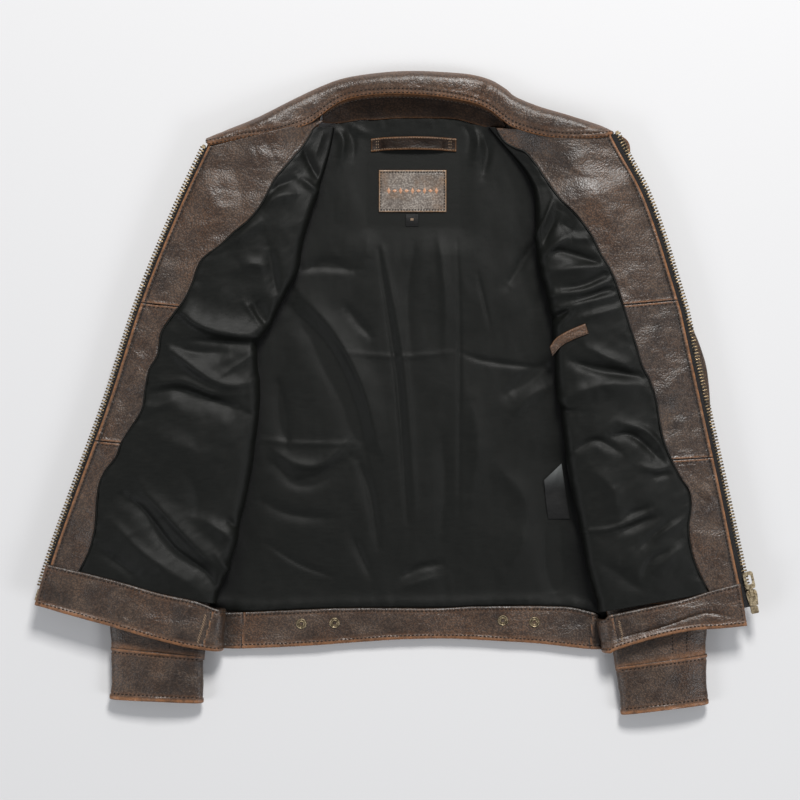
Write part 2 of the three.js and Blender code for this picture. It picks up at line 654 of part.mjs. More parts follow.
// A stop beside the tape's edge, at a share of the zip edge's length from the collar.
function placeStop(name, front, share, width, length) {
  const edge = new THREE.Path(front.zip);
  const centre = edge.getPointAt(share);
  const along = edge.getTangentAt(share);
  const distance = outwardSign(front) * (toothRoot(front) + width / 2);
  const turn = Math.atan2(-along.y, -along.x) - Math.PI / 2;
  const [x, y] = [centre.x - along.y * distance, centre.y + along.x * distance];
  place(name, slab(roundedOutline(width, length, 0.8, turn, x, y), TEETH_LOW, TOOTH_THICKNESS), brassLook);
}
const NEAR_TOP = 0.004;
const NEAR_FOOT = 0.985;
placeStop('zip_insertion_pin', leftFront, NEAR_FOOT, 3, 14);
placeStop('left_top_stop', leftFront, NEAR_TOP, 4, 4);
placeStop('right_top_stop', rightFront, NEAR_TOP, 4, 4);

// ---- Waist tabs: straps under the hem band, each hinged at its side seam and snapped to a stud ----
const TAB_WIDTH = 26;
const TAB_END = 13;
const TAB_Z = 1.4;
const TAB_PAST_SNAP = 4;
const SNAP_RADIUS = 6.5;
const SNAP_POST = 2;
const SNAP_SOCKET = { outer: 5, inner: 2.6, floor: 3.9, top: 5.6 };
function addWaistTab(side, seamX, [studX, studY]) {
  const way = Math.sign(studX - seamX);
  const tip = studX + way * (TAB_END + TAB_PAST_SNAP);
  const strap = [
    new THREE.Vector2(seamX, studY - TAB_WIDTH / 2),
    new THREE.Vector2(tip - way * TAB_END, studY - TAB_WIDTH / 2),
    new THREE.Vector2(tip, studY),
    new THREE.Vector2(tip - way * TAB_END, studY + TAB_WIDTH / 2),
    new THREE.Vector2(seamX, studY + TAB_WIDTH / 2),
  ];
  const hole = disc(SNAP_POST + GAP, 0, 20, studX, studY);
  place(`${side}_waist_tab`, subtract(slab(strap, TAB_Z, LEATHER), hole), leatherLook);
  const capTop = TAB_Z - 0.3;
  const socketBottom = TAB_Z + LEATHER + 0.3;
  const { outer, inner, floor, top } = SNAP_SOCKET;
  const profile = points([
    [0, 0.3], [SNAP_RADIUS, 0.3], [SNAP_RADIUS, capTop], [SNAP_POST, capTop], [SNAP_POST, socketBottom],
    [outer, socketBottom], [outer, top], [inner, top], [inner, floor], [0, floor],
  ]);
  const snap = new THREE.LatheGeometry(profile, 16).rotateX(Math.PI / 2).translate(studX, studY, 0);
  place(`${side}_tab_snap`, snap, brassLook);
}
addWaistTab('left', -196, STUDS.left_outer);
addWaistTab('right', 232, STUDS.right_outer);

export default jacket;
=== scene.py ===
import math

import bpy
import numpy as np
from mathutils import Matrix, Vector


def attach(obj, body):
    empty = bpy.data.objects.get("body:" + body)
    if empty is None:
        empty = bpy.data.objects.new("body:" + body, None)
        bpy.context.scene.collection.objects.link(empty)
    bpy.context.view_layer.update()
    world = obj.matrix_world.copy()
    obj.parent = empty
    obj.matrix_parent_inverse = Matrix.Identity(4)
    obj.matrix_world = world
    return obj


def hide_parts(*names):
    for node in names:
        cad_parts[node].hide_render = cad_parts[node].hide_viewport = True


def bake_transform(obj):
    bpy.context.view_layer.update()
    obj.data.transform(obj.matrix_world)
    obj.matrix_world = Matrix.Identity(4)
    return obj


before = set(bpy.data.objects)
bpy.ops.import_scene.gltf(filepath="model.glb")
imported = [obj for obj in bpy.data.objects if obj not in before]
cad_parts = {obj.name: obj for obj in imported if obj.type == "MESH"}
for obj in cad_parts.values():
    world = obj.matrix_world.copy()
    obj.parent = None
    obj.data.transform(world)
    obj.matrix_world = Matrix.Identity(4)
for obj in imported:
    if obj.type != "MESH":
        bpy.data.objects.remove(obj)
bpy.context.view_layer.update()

# A leather riding jacket lying open on its back, lining side up.
# Shapes are worked out in millimetres in the CAD frame and become metres in make().
MM = 0.001
SIDES = {"left": -1, "right": 1}


# ---- Curves ----
def resample(run, count):
    """Points spaced evenly along a run, or at the given shares of its length."""
    run = np.asarray(run, float)
    along = np.concatenate([[0], np.cumsum(np.linalg.norm(np.diff(run, axis=0), axis=1))])
    at = np.linspace(0, 1, count) if np.isscalar(count) else np.asarray(count)
    return np.stack([np.interp(at * along[-1], along, run[:, k]) for k in range(run.shape[1])], axis=1)


def curve(points, count=300):
    """A smooth curve through the points."""
    p = np.asarray(points, float)
    p = np.vstack([2 * p[0] - p[1], p, 2 * p[-1] - p[-2]])
    t = np.linspace(0, 1, 12, endpoint=False)[:, None]
    runs = [
        0.5 * (2 * b + (c - a) * t + (2 * a - 5 * b + 4 * c - d) * t**2 + (3 * b - a - 3 * c + d) * t**3)
        for a, b, c, d in zip(p, p[1:], p[2:], p[3:])
    ]
    return resample(np.vstack([*runs, p[-2:-1]]), count)


def beside(run, distance):
    """A run in the plane moved to its left."""
    ahead = np.gradient(run[:, :2], axis=0)
    ahead /= np.linalg.norm(ahead, axis=1)[:, None]
    moved = run.copy()
    moved[:, 0] -= ahead[:, 1] * distance
    moved[:, 1] += ahead[:, 0] * distance
    return moved


def between(run, high, low):
    """The stretch of a downward run between two values of y."""
    inside = run[(run[:, 1] < high) & (run[:, 1] > low)]
    ends = [[np.interp(-y, -run[:, 1], run[:, 0]), y] for y in (high, low)]
    return np.vstack([ends[0], inside, ends[1]])


def x_at(run, y):
    """Where a downward run is at each y."""
    return np.interp(-y, -run[:, 1], run[:, 0])


def step(low, high, value):
    t = np.clip((value - low) / (high - low), 0, 1)
    return t * t * (3 - 2 * t)


def hump(value, centre, width):
    return np.exp(-(((value - centre) / width) ** 2))


def noise(x, y, seed=0):
    """Smooth noise from -1 to 1, the same every time."""
    i, j = np.floor(x), np.floor(y)
    u, v = x - i, y - j
    u, v = u * u * (3 - 2 * u), v * v * (3 - 2 * v)

    def corner(a, b):
        h = (a.astype(np.int64) * 374761393 + b.astype(np.int64) * 668265263 + seed * 974711) & 0xFFFFFFFF
        h = ((h ^ (h >> 13)) * 1274126177) & 0xFFFFFFFF
        return (h ^ (h >> 16)) / 2**31 - 1

    low = corner(i, j) * (1 - u) + corner(i + 1, j) * u
    high = corner(i, j + 1) * (1 - u) + corner(i + 1, j + 1) * u
    return low * (1 - v) + high * v


def cloudy(x, y, size, seed=0, octaves=3):
    """Octaves of noise, the largest of them at the given size."""
    layers = [(2**k, k) for k in range(octaves)]
    return sum(noise(x / size * f + 7 * k, y / size * f - 3 * k, seed + k) / f for f, k in layers) / 1.6


# ---- Grids of points: rows run down the piece, columns across it ----
def spaced(length, pitch, edge=1.6):
    """Shares of a length, close together within `edge` of both ends."""
    near = np.array([0, 0.06, 0.24, 0.52, 1]) * edge
    middle = np.linspace(edge, length - edge, max(3, round((length - 2 * edge) / pitch)))[1:-1]
    return np.concatenate([near, middle, (length - near)[::-1]]) / length


def span(run):
    return float(np.linalg.norm(np.diff(run, axis=0), axis=1).sum())


def patch(side_a, side_b, pitch=2.0, top=None, bottom=None, edge=1.6):
    """A grid between two side curves, and two end curves where they aren't straight."""
    down = spaced((span(side_a) + span(side_b)) / 2, pitch, edge)
    wide = max(np.linalg.norm(side_a[0] - side_b[0]), np.linalg.norm(side_a[-1] - side_b[-1]),
               np.linalg.norm(side_a[len(side_a) // 2] - side_b[len(side_b) // 2]))
    over = spaced(wide, pitch, edge)
    a, b = resample(side_a, down)[:, None], resample(side_b, down)[:, None]
    s, t = down[:, None, None], over[None, :, None]
    grid = a * (1 - t) + b * t
    for end, weight, row in ((top, 1 - s, 0), (bottom, s, -1)):
        if end is not None:
            straight = a[row] * (1 - t[0]) + b[row] * t[0]
            grid = grid + weight * (resample(end, over) - straight)[None]
    return grid


def raised(grid, z):
    """The grid at a new height: one for all of it, or one for each point."""
    return np.dstack([grid[..., :2], np.broadcast_to(z, grid.shape[:2])])


def gaps(grid):
    """How far each point is from the first and last column and the first and last row."""
    across = np.linalg.norm(np.diff(grid, axis=1), axis=2).cumsum(1)
    across = np.hstack([np.zeros((len(grid), 1)), across])
    along = np.linalg.norm(np.diff(grid, axis=0), axis=2).cumsum(0)
    along = np.vstack([np.zeros((1, grid.shape[1])), along])
    return across, across[:, -1:] - across, along, along[-1:] - along


def across_down(grid):
    """The cross product of a grid's two directions. It points up or down with the way the grid runs."""
    return np.cross(np.gradient(grid, axis=1), np.gradient(grid, axis=0))


def facing_up(grid):
    n = across_down(grid)
    n /= np.maximum(np.linalg.norm(n, axis=2), 1e-9)[..., None]
    return n if n[..., 2].mean() > 0 else -n


def quads(rows, columns, wrap=False):
    index = np.arange(rows * columns).reshape(rows, columns)
    if wrap:
        index = np.hstack([index, index[:, :1]])
    return np.stack([index[:-1, :-1], index[:-1, 1:], index[1:, 1:], index[1:, :-1]], axis=2).reshape(-1, 4)


def half_thickness(near, thickness, rounding):
    """Half the thickness at each distance from the rim, which is rounded off."""
    return thickness / 2 * np.sqrt(np.clip(1 - (1 - np.clip(near / rounding, 0, 1)) ** 2, 0, 1))


def solid(grid, thickness, rounding, wear_and_painted_light=0.0):
    """A closed padded form about a middle grid, its rim rounded off. Returns a part and its upper grid."""
    n = facing_up(grid) * half_thickness(np.minimum.reduce(gaps(grid)), thickness, rounding)[..., None]
    rows, columns = grid.shape[:2]
    faces = quads(rows, columns)
    faces = faces[:, ::-1] if across_down(grid)[..., 2].mean() < 0 else faces
    index = np.arange(rows * columns).reshape(rows, columns) + rows * columns
    index[0], index[-1] = np.arange(columns), np.arange(columns) + (rows - 1) * columns
    index[:, 0], index[:, -1] = np.arange(rows) * columns, np.arange(rows) * columns + columns - 1
    under = index.ravel()[faces[:, ::-1]]
    points = np.vstack([(grid + n).reshape(-1, 3), (grid - n).reshape(-1, 3)])
    wear_and_painted_light = np.broadcast_to(wear_and_painted_light, (rows, columns)).ravel()
    return (points, np.vstack([faces, under]), np.tile(wear_and_painted_light, 2)), grid + n


def solid_open(grid, thickness, rounding, wear_and_painted_light, first_closed, last_closed):
    """Like solid(), but at full thickness up to an end row where it meets the next piece."""
    left, right, above, below = gaps(grid)
    near = np.minimum(left, right)
    near = np.minimum(near, above) if first_closed else near
    near = np.minimum(near, below) if last_closed else near
    n = facing_up(grid) * half_thickness(near, thickness, rounding)[..., None]
    top, bottom = grid + n, grid - n
    loops = np.concatenate([top, bottom[:, ::-1]], axis=1)
    value = np.concatenate([wear_and_painted_light, wear_and_painted_light[:, ::-1]], axis=1)
    if across_down(grid)[..., 2].mean() < 0:
        loops, value = loops[:, ::-1], value[:, ::-1]
    return tube(loops, value), top


def tube(loops, wear_and_painted_light=0.0, closed_ends=False):
    """A tube through closed loops of points, (rows, around, 3)."""
    rows, around = loops.shape[:2]
    faces = [quads(rows, around, wrap=True)]
    points = [loops.reshape(-1, 3)]
    wear_and_painted_light = np.broadcast_to(np.asarray(wear_and_painted_light, float), (rows, around))
    values = [wear_and_painted_light.ravel()]
    if closed_ends:
        for row in (0, rows - 1):
            hub = sum(len(p) for p in points)
            points.append(loops[row].mean(0)[None])
            values.append(wear_and_painted_light[row].mean()[None])
            ring = row * around + np.arange(around)
            fan = np.stack([ring, np.roll(ring, -1), np.full(around, hub), np.full(around, hub)], axis=1)
            faces.append(fan if row else fan[:, [1, 0, 2, 3]])
    return np.vstack(points), np.vstack(faces), np.concatenate(values)


def rope(run, radius, squash=1.0, sides=10):
    """A round welt along a 3-D run."""
    along = np.gradient(run, axis=0)
    along /= np.linalg.norm(along, axis=1)[:, None]
    out = np.cross(along, [0, 0, 1.0])
    out /= np.maximum(np.linalg.norm(out, axis=1), 1e-9)[:, None]
    up = np.cross(out, along)
    angle = np.linspace(0, 2 * np.pi, sides, endpoint=False)
    from_end = np.minimum(np.arange(len(run)), np.arange(len(run))[::-1])
    taper = np.sqrt(np.clip(from_end / 2.0, 0.02, 1))
    ring = np.cos(angle)[None, :, None] * out[:, None] + squash * np.sin(angle)[None, :, None] * up[:, None]
    return tube(run[:, None] + ring * (radius * taper)[:, None, None], closed_ends=True)


# Along one stitch: the share of its length, then its height and its girth in radii.
STITCH = ((-0.5, -0.9, 0.25), (-0.42, -0.1, 0.8), (-0.15, 0.35, 1), (0.15, 0.35, 1), (0.42, -0.1, 0.8),
          (0.5, -0.9, 0.25))
STITCH_SIDES = 6
STITCH_SINK = 0.12


def stitches(run, pitch=4.8, length=3.0, radius=0.7, skew=0.0):
    """Short bent threads one after another along a 3-D run on a surface."""
    count = max(2, int(span(run) / pitch))
    centres = resample(run, (np.arange(count) + 0.5) / count)
    along = np.gradient(centres, axis=0)
    along /= np.linalg.norm(along, axis=1)[:, None]
    side = np.cross([0, 0, 1.0], along)
    side /= np.maximum(np.linalg.norm(side, axis=1), 1e-9)[:, None]
    up = np.cross(along, side)
    if skew:
        along, side = along + skew * side, side - skew * along
    angle = np.linspace(0, 2 * np.pi, STITCH_SIDES, endpoint=False)
    local = np.array([[s * length, r * radius * math.cos(a), (h + r * math.sin(a)) * radius - STITCH_SINK]
                      for s, h, r in STITCH for a in angle])
    points = (centres[:, None] + local[None, :, :1] * along[:, None] + local[None, :, 1:2] * side[:, None]
              + local[None, :, 2:] * up[:, None])
    one = quads(len(STITCH), STITCH_SIDES, wrap=True)
    faces = (one[None] + np.arange(count)[:, None, None] * len(local)).reshape(-1, 4)
    return points.reshape(-1, 3), faces, np.zeros(count * len(local))


def line_on(surface, column_gap=None, row_gap=None, last=False):
    """The line on an upper grid that keeps a distance from its first or last column or row."""
    if row_gap is not None:
        return line_on(surface.transpose(1, 0, 2), column_gap=row_gap, last=last)
    grid = surface[:, ::-1] if last else surface
    across = gaps(grid)[0]
    return np.array([[np.interp(column_gap, far, row[:, k]) for k in range(3)]
                     for far, row in zip(across, grid)])


# ---- Materials ----
class Look:
    """A node material. Patterns follow the `rest` attribute, so that they move with the cloth."""

    def __init__(self, name):
        self.material = bpy.data.materials.new(name)
        self.material.use_nodes = True
        self.tree = self.material.node_tree
        self.shader = next(n for n in self.tree.nodes if n.type == "BSDF_PRINCIPLED")
        self.rest = self.node("ShaderNodeAttribute", attribute_name="rest").outputs["Vector"]

    def node(self, kind, inputs=(), **settings):
        made = self.tree.nodes.new(kind)
        for key, value in settings.items():
            setattr(made, key, value)
        for key, value in dict(inputs).items():
            self.put(made.inputs[key], value)
        return made

    def put(self, socket, value):
        if isinstance(value, bpy.types.NodeSocket):
            self.tree.links.new(value, socket)
        else:
            socket.default_value = value

    def attribute(self, name):
        return self.node("ShaderNodeAttribute", attribute_name=name).outputs["Fac"]

    def noise(self, scale, detail=3.0, roughness=0.55, stretch=None):
        inputs = {"Vector": self.stretched(stretch), "Scale": scale, "Detail": detail, "Roughness": roughness}
        return self.node("ShaderNodeTexNoise", inputs).outputs["Fac"]

    def cells(self, scale):
        warp = self.node("ShaderNodeTexNoise", {"Vector": self.rest, "Scale": scale * 0.7, "Detail": 1.0})
        shift = self.node("ShaderNodeVectorMath", {0: warp.outputs["Color"], 1: (0.9 / scale,) * 3},
                          operation="MULTIPLY")
        place = self.node("ShaderNodeVectorMath", {0: self.rest, 1: shift.outputs["Vector"]}, operation="ADD")
        return self.node("ShaderNodeTexVoronoi", {"Vector": place.outputs["Vector"],
                                                  "Scale": scale}).outputs["Distance"]

    def stretched(self, stretch):
        if stretch is None:
            return self.rest
        made = self.node("ShaderNodeVectorMath", {0: self.rest, 1: stretch}, operation="MULTIPLY")
        return made.outputs["Vector"]

    def wave(self, scale, turn, distortion=0.0):
        turned = self.node("ShaderNodeVectorRotate", {"Vector": self.rest, "Angle": turn},
                           rotation_type="Z_AXIS")
        return self.node("ShaderNodeTexWave", {"Vector": turned.outputs["Vector"], "Scale": scale,
                                               "Distortion": distortion}).outputs["Fac"]

    def ramp(self, value, low, high, out_low=0.0, out_high=1.0):
        return self.node("ShaderNodeMapRange", {"Value": value, "From Min": low, "From Max": high,
                                                "To Min": out_low, "To Max": out_high}).outputs["Result"]

    def math(self, operation, a, b):
        return self.node("ShaderNodeMath", {0: a, 1: b}, operation=operation).outputs[0]

    def mix(self, factor, a, b):
        made = self.node("ShaderNodeMix", data_type="RGBA")
        self.put(made.inputs[0], factor)
        self.put(made.inputs[6], a if isinstance(a, bpy.types.NodeSocket) else (*a, 1))
        self.put(made.inputs[7], b if isinstance(b, bpy.types.NodeSocket) else (*b, 1))
        return made.outputs[2]

    def bump(self, *layers):
        normal = None
        for height, strength, distance in layers:
            inputs = {"Height": height, "Strength": strength, "Distance": distance}
            if normal is not None:
                inputs["Normal"] = normal
            normal = self.node("ShaderNodeBump", inputs).outputs["Normal"]
        self.put(self.shader.inputs["Normal"], normal)

    def surface(self, **values):
        for key, value in values.items():
            self.put(self.shader.inputs[key.replace("_", " ")], value)
        return self.material


def leather(name, dark, mid, light, tan, rough=(0.36, 0.52), grain=1.0, gloss=0.66, rust=0.5):
    """Waxed leather with a fine grain: tan where the per-point attribute marks edge wear, and darkened as
    painted shade where it is negative.
    """
    look = Look(name)
    broad, patchy, fine = look.noise(10, 4, 0.6), look.noise(30, 4, 0.6), look.noise(330, 3, 0.7)
    rusty = look.noise(15, 4, 0.62, (1, 0.6, 1))
    pebbles = look.cells(470)
    colour = look.mix(look.ramp(broad, 0.4, 0.66), mid, dark)
    colour = look.mix(look.ramp(patchy, 0.42, 0.7, 0, 0.7), colour, light)
    colour = look.mix(look.ramp(rusty, 0.46, 0.62, 0, rust), colour, tuple(0.42 * v for v in tan))
    colour = look.mix(look.ramp(pebbles, 0.3, 0.6, 0, 0.75), colour, dark)
    colour = look.mix(look.ramp(fine, 0.5, 0.7, 0, 0.35), colour, light)
    wear_and_painted_light = look.attribute("wear_and_painted_light")
    scuffs = look.ramp(look.noise(150, 3, 0.7), 0.3, 0.62, 0.3, 1.0)
    colour = look.mix(look.math("MULTIPLY", look.ramp(wear_and_painted_light, 0, 1), scuffs), colour, tan)
    # Painted shade: a darker colour where the per-point attribute is negative, in stitch grooves and seams and
    # where pieces meet or roll down.
    colour = look.mix(look.ramp(wear_and_painted_light, -1, 0, 1, 0), colour, tuple(0.3 * v for v in dark))
    look.bump((look.noise(13, 2, 0.4), 0.8, 0.013 * grain),
              (look.noise(34, 2, 0.4, (1, 1.7, 1)), 0.7, 0.0036 * grain),
              (pebbles, 0.7, -0.0005 * grain), (fine, 0.5, 0.0003 * grain))
    mottle = look.math("ADD", look.math("MULTIPLY", patchy, 0.6), look.math("MULTIPLY", fine, 0.4))
    return look.surface(Base_Color=colour, Roughness=look.ramp(mottle, 0.38, 0.62, *rough),
                        Coat_Weight=0.25 * gloss, Coat_Roughness=0.35, Specular_IOR_Level=gloss)


def satin(name, colour, pale, painted_glint=(0.16, 0.17, 0.17)):
    """Satin cloth: a painted highlight's colour where the per-point attribute is high, and painted shade,
    darker, where it is negative.
    """
    look = Look(name)
    twill = look.wave(900, 0.9, 0.4)
    slubs = look.noise(90, 4, 0.6, (1, 6, 1))
    shade = look.mix(look.ramp(slubs, 0.35, 0.7), colour, pale)
    # Painted shade where the per-point attribute is negative, and a painted highlight where it is high.
    shade = look.mix(look.ramp(look.attribute("wear_and_painted_light"), -1, 0, 1, 0), shade, tuple(0.1 * v for v in colour))
    shade = look.mix(look.ramp(look.attribute("wear_and_painted_light"), 0, 1), shade, painted_glint)
    look.bump((twill, 0.25, 0.00012), (look.noise(150, 3), 0.12, 0.0008))
    return look.surface(Base_Color=shade, Roughness=look.ramp(slubs, 0.3, 0.7, 0.46, 0.54),
                        Specular_IOR_Level=0.25)


def woven(name, colour, pale):
    look = Look(name)
    ribs = look.wave(700, 0.35)
    cross = look.wave(700, 1.92)
    weave = look.math("MULTIPLY", ribs, cross)
    look.bump((weave, 0.8, 0.0004), (look.noise(900, 2), 0.3, 0.0002))
    return look.surface(Base_Color=look.mix(weave, colour, pale), Roughness=look.ramp(weave, 0, 1, 0.9, 0.7),
                        Sheen_Weight=0.2)


def brass(name, dark, bright, cad=False):
    """Tarnished brass. The CAD's own nodes have no `rest` attribute, so theirs follows object coordinates."""
    look = Look(name)
    if cad:
        look.rest = look.node("ShaderNodeTexCoord").outputs["Object"]
    tarnish = look.noise(220, 4, 0.65)
    scratches = look.noise(700, 3, 0.6, (1, 5, 1))
    colour = look.mix(look.ramp(tarnish, 0.38, 0.62), bright, dark)
    look.bump((scratches, 0.2, 0.0001), (tarnish, 0.15, 0.0003))
    metal = 0.9 if cad else look.ramp(tarnish, 0.3, 0.7, 0.95, 0.75)
    rough = (0.26, 0.48) if cad else (0.28, 0.5)
    return look.surface(Base_Color=colour, Metallic=metal, Roughness=look.ramp(scratches, 0.35, 0.65, *rough))


def thread(name, colour, pale):
    look = Look(name)
    ply = look.wave(1500, 0.7)
    look.bump((ply, 0.6, 0.0002), (look.noise(1200, 2), 0.3, 0.0001))
    return look.surface(Base_Color=look.mix(ply, colour, pale), Roughness=look.ramp(ply, 0, 1, 0.8, 0.62))


LEATHER = leather("leather", (0.014, 0.0066, 0.0033), (0.054, 0.0265, 0.0132), (0.135, 0.081, 0.048),
                  (0.3, 0.128, 0.047))
# Painted shade: a darker copy of the leather, for the fall that lies under the collar and the fronts.
SHADED_COLLAR_LEATHER = leather("shaded_collar_leather", (0.009, 0.0046, 0.0026), (0.03, 0.0162, 0.0093), (0.07, 0.0445, 0.0285),
                 (0.26, 0.12, 0.048), gloss=0.52, rust=0.25)
# Painted shade: a much darker leather, for the stand where it lies shaded under the collar's rise; the hanger
# strap uses it as well.
SHADED_DARK_LEATHER = leather("warm_leather", (0.005, 0.0025, 0.0014), (0.0145, 0.0072, 0.0038), (0.033, 0.0175, 0.0095),
               (0.26, 0.12, 0.052), grain=0.6, gloss=0.2, rust=0.1)
PATCH = leather("patch_leather", (0.07, 0.054, 0.043), (0.21, 0.175, 0.15), (0.42, 0.37, 0.32),
                (0.36, 0.19, 0.08), grain=0.7)
COPPER = leather("embossed_mark", (0.4, 0.18, 0.09), (0.62, 0.32, 0.18), (0.72, 0.42, 0.26),
                 (0.6, 0.32, 0.18), grain=0.5)
LINING = satin("lining", (0.0033, 0.0038, 0.003), (0.005, 0.0056, 0.0045))
LABEL = satin("label", (0.006, 0.006, 0.006), (0.011, 0.011, 0.011))
TAPE = woven("zip_tape", (0.006, 0.006, 0.007), (0.014, 0.014, 0.016))
BRASS = brass("antique_brass", (0.024, 0.018, 0.012), (0.33, 0.245, 0.145))
STUD_BRASS = brass("stud_brass", (0.1, 0.08, 0.05), (0.42, 0.34, 0.22))
CAD_BRASS = brass("cad_antique_brass", (0.24, 0.18, 0.11), (0.85, 0.7, 0.46), cad=True)
THREAD = thread("thread", (0.01, 0.006, 0.004), (0.035, 0.021, 0.013))
PALE_THREAD = thread("pale_thread", (0.2, 0.13, 0.08), (0.34, 0.24, 0.16))
BLACK_THREAD = thread("black_thread", (0.01, 0.009, 0.008), (0.03, 0.027, 0.024))


def make(name, parts, look, rides, stands_for=()):
    """One piece from parts in millimetres. It rides on a body when one is named, and otherwise stays where it
    was made.
    """
    parts = [parts] if isinstance(parts, tuple) else parts
    start = np.cumsum([0] + [len(p[0]) for p in parts])
    points = np.vstack([p[0] for p in parts])
    faces = np.vstack([p[1] + s for p, s in zip(parts, start)])
    wear_and_painted_light = np.concatenate([p[2] for p in parts])
    used, faces = np.unique(faces, return_inverse=True)
    faces = faces.reshape(-1, 4)
    points, wear_and_painted_light = points[used] * MM, wear_and_painted_light[used]
    three = faces[:, 2] == faces[:, 3]
    counts = np.where(three, 3, 4)
    loops = np.concatenate([f[:3] if t else f for f, t in zip(faces, three)]) if three.any() else faces.ravel()
    mesh = bpy.data.meshes.new(name)
    mesh.vertices.add(len(points))
    mesh.vertices.foreach_set("co", points.ravel())
    mesh.loops.add(len(loops))
    mesh.loops.foreach_set("vertex_index", loops)
    mesh.polygons.add(len(faces))
    mesh.polygons.foreach_set("loop_start", np.concatenate([[0], np.cumsum(counts)[:-1]]))
    mesh.update(calc_edges=True)
    mesh.validate()
    mesh.shade_smooth()
    rest = mesh.attributes.new("rest", "FLOAT_VECTOR", "POINT")
    rest.data.foreach_set("vector", points.astype(np.float32).ravel())
    # The per-point attribute carries edge wear, painted shade where it is negative and, on the care label, a
    # painted highlight.
    worn_and_painted_light = mesh.attributes.new("wear_and_painted_light", "FLOAT", "POINT")
    worn_and_painted_light.data.foreach_set("value", wear_and_painted_light.astype(np.float32))
    mesh.materials.append(look)
    piece = bpy.data.objects.new(name, mesh)
    bpy.context.collection.objects.link(piece)
    if isinstance(rides, str):
        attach(piece, rides)
    else:
        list(rides)
        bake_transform(piece)
    if stands_for:
        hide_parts(*([stands_for] if isinstance(stands_for, str) else stands_for))
    return piece


# ---- Outlines of the fronts ----
FRONTS = {
    "left": {
        "zip": curve([(-223, 296), (-258, 221), (-302, 113), (-341, -7), (-376, -103), (-404, -181),
                      (-420, -231), (-426, -250)], 500),
        "fold": curve([(-72, 323), (-78, 293), (-90, 245), (-98, 215), (-107, 185), (-113, 149),
                       (-127, 122), (-138, 101), (-146, 82), (-160, 68), (-163, 48), (-160, -7),
                       (-162, -43), (-167, -70), (-173, -103), (-181, -145), (-188, -178), (-198, -211),
                       (-208, -240), (-214, -262)], 500),
        "facing": curve([(-84, 330), (-98, 319), (-110, 299), (-132, 272), (-144, 257), (-160, 227),
                         (-174, 209), (-192, 194), (-208, 179), (-228, 164), (-236, 152), (-242, 134),
                         (-252, 113), (-270, 89), (-280, 72), (-284, 47), (-294, 29), (-299, 5),
                         (-303, -19), (-318, -43), (-328, -59), (-334, -75), (-347, -92), (-354, -108),
                         (-357, -130), (-359, -160), (-366, -187), (-378, -211), (-388, -230)], 500),
        "seams": (((-302, 109), (-258, 104)), ((-362, -56), (-329, -59))),
        "hem_top": curve([(-417, -203), (-378, -212), (-330, -224), (-282, -238), (-240, -247),
                          (-222, -254)]),
        "tape_out": 3.0,
        "hem_bottom": curve([(-431, -252), (-390, -264), (-342, -277), (-294, -291), (-252, -302),
                             (-222, -307)]),
        "puff": 6.0,
    },
    "right": {
        "zip": np.vstack([curve([(257, 311), (272, 281), (294, 239), (312, 191), (327, 143), (340, 100)], 250),
                          resample([(340, 100), (416, -246), (421, -269)], 250)[1:]]),
        "fold": curve([(110, 323), (127, 303), (142, 286), (156, 266), (165, 240), (165, 185), (169, 161),
                       (174, 137), (182, 113), (186, 89), (188, 59), (191, 11), (197, -31), (204, -79),
                       (208, -103), (213, -127), (217, -151), (225, -199), (231, -223), (238, -247),
                       (243, -270)], 500),
        "facing": curve([(121, 321), (132, 305), (144, 297), (157, 291), (170, 275), (180, 259),
                         (198, 233), (216, 215), (234, 191), (246, 167), (260, 143), (272, 108), (280, 83),
                         (288, 59), (295, 35), (304, 17), (312, -7), (316, -31), (321, -55), (331, -80),
                         (342, -101), (351, -115), (354, -133), (351, -160), (354, -185), (360, -205),
                         (370, -226), (384, -252)], 500),
        "seams": (((335, 112), (275, 106)), ((377, -76), (332, -79))),
        "hem_top": curve([(413, -226), (378, -235), (342, -246), (294, -256), (266, -262), (249, -266)]),
        "tape_out": 6.5,
        "hem_bottom": curve([(421, -277), (390, -280), (354, -283), (318, -290), (282, -300),
                             (256, -309)]),
        "puff": 6.5,
    },
}
# The leather's edge keeps to the zip's line, and on the right it covers a little more of the tape midway.
for front in FRONTS.values():
    line = front["zip"]
    extra = (front["tape_out"] - 3) * 0.45 * step(-230, -90, line[:, 1]) * (1 - step(262, 306, line[:, 1]))
    front["edge"] = beside(line, extra)
EDGE_Z = 32.3
CHAIN_Z = 30.6
SHELL_DROP = 3.4
ROOT_Z = 4.0


def front_height(side, x, y, crowned=1.0):
    """The middle of the lining and the facings: level at the zip, crowned across, sloping down to the neck."""
    front, way = FRONTS[side], SIDES[side]
    across = way * (x - x_at(front["fold"], y))
    width = way * (x_at(front["zip"], y) - x_at(front["fold"], y))
    share = np.clip(across / width, 0, 1)
    neck = step(205, 318, y)
    low = 21 * neck * (1 - step(-6, 78, across))
    above_hem = y - np.interp(way * x, (way * front["hem_top"][::-1])[:, 0], front["hem_top"][::-1, 1])
    crown = crowned * front["puff"] * np.sin(np.pi * share**0.85) * (1 - 0.5 * neck)
    crown *= 0.3 + 0.7 * step(-10, 70, above_hem)
    return EDGE_Z - low + crown


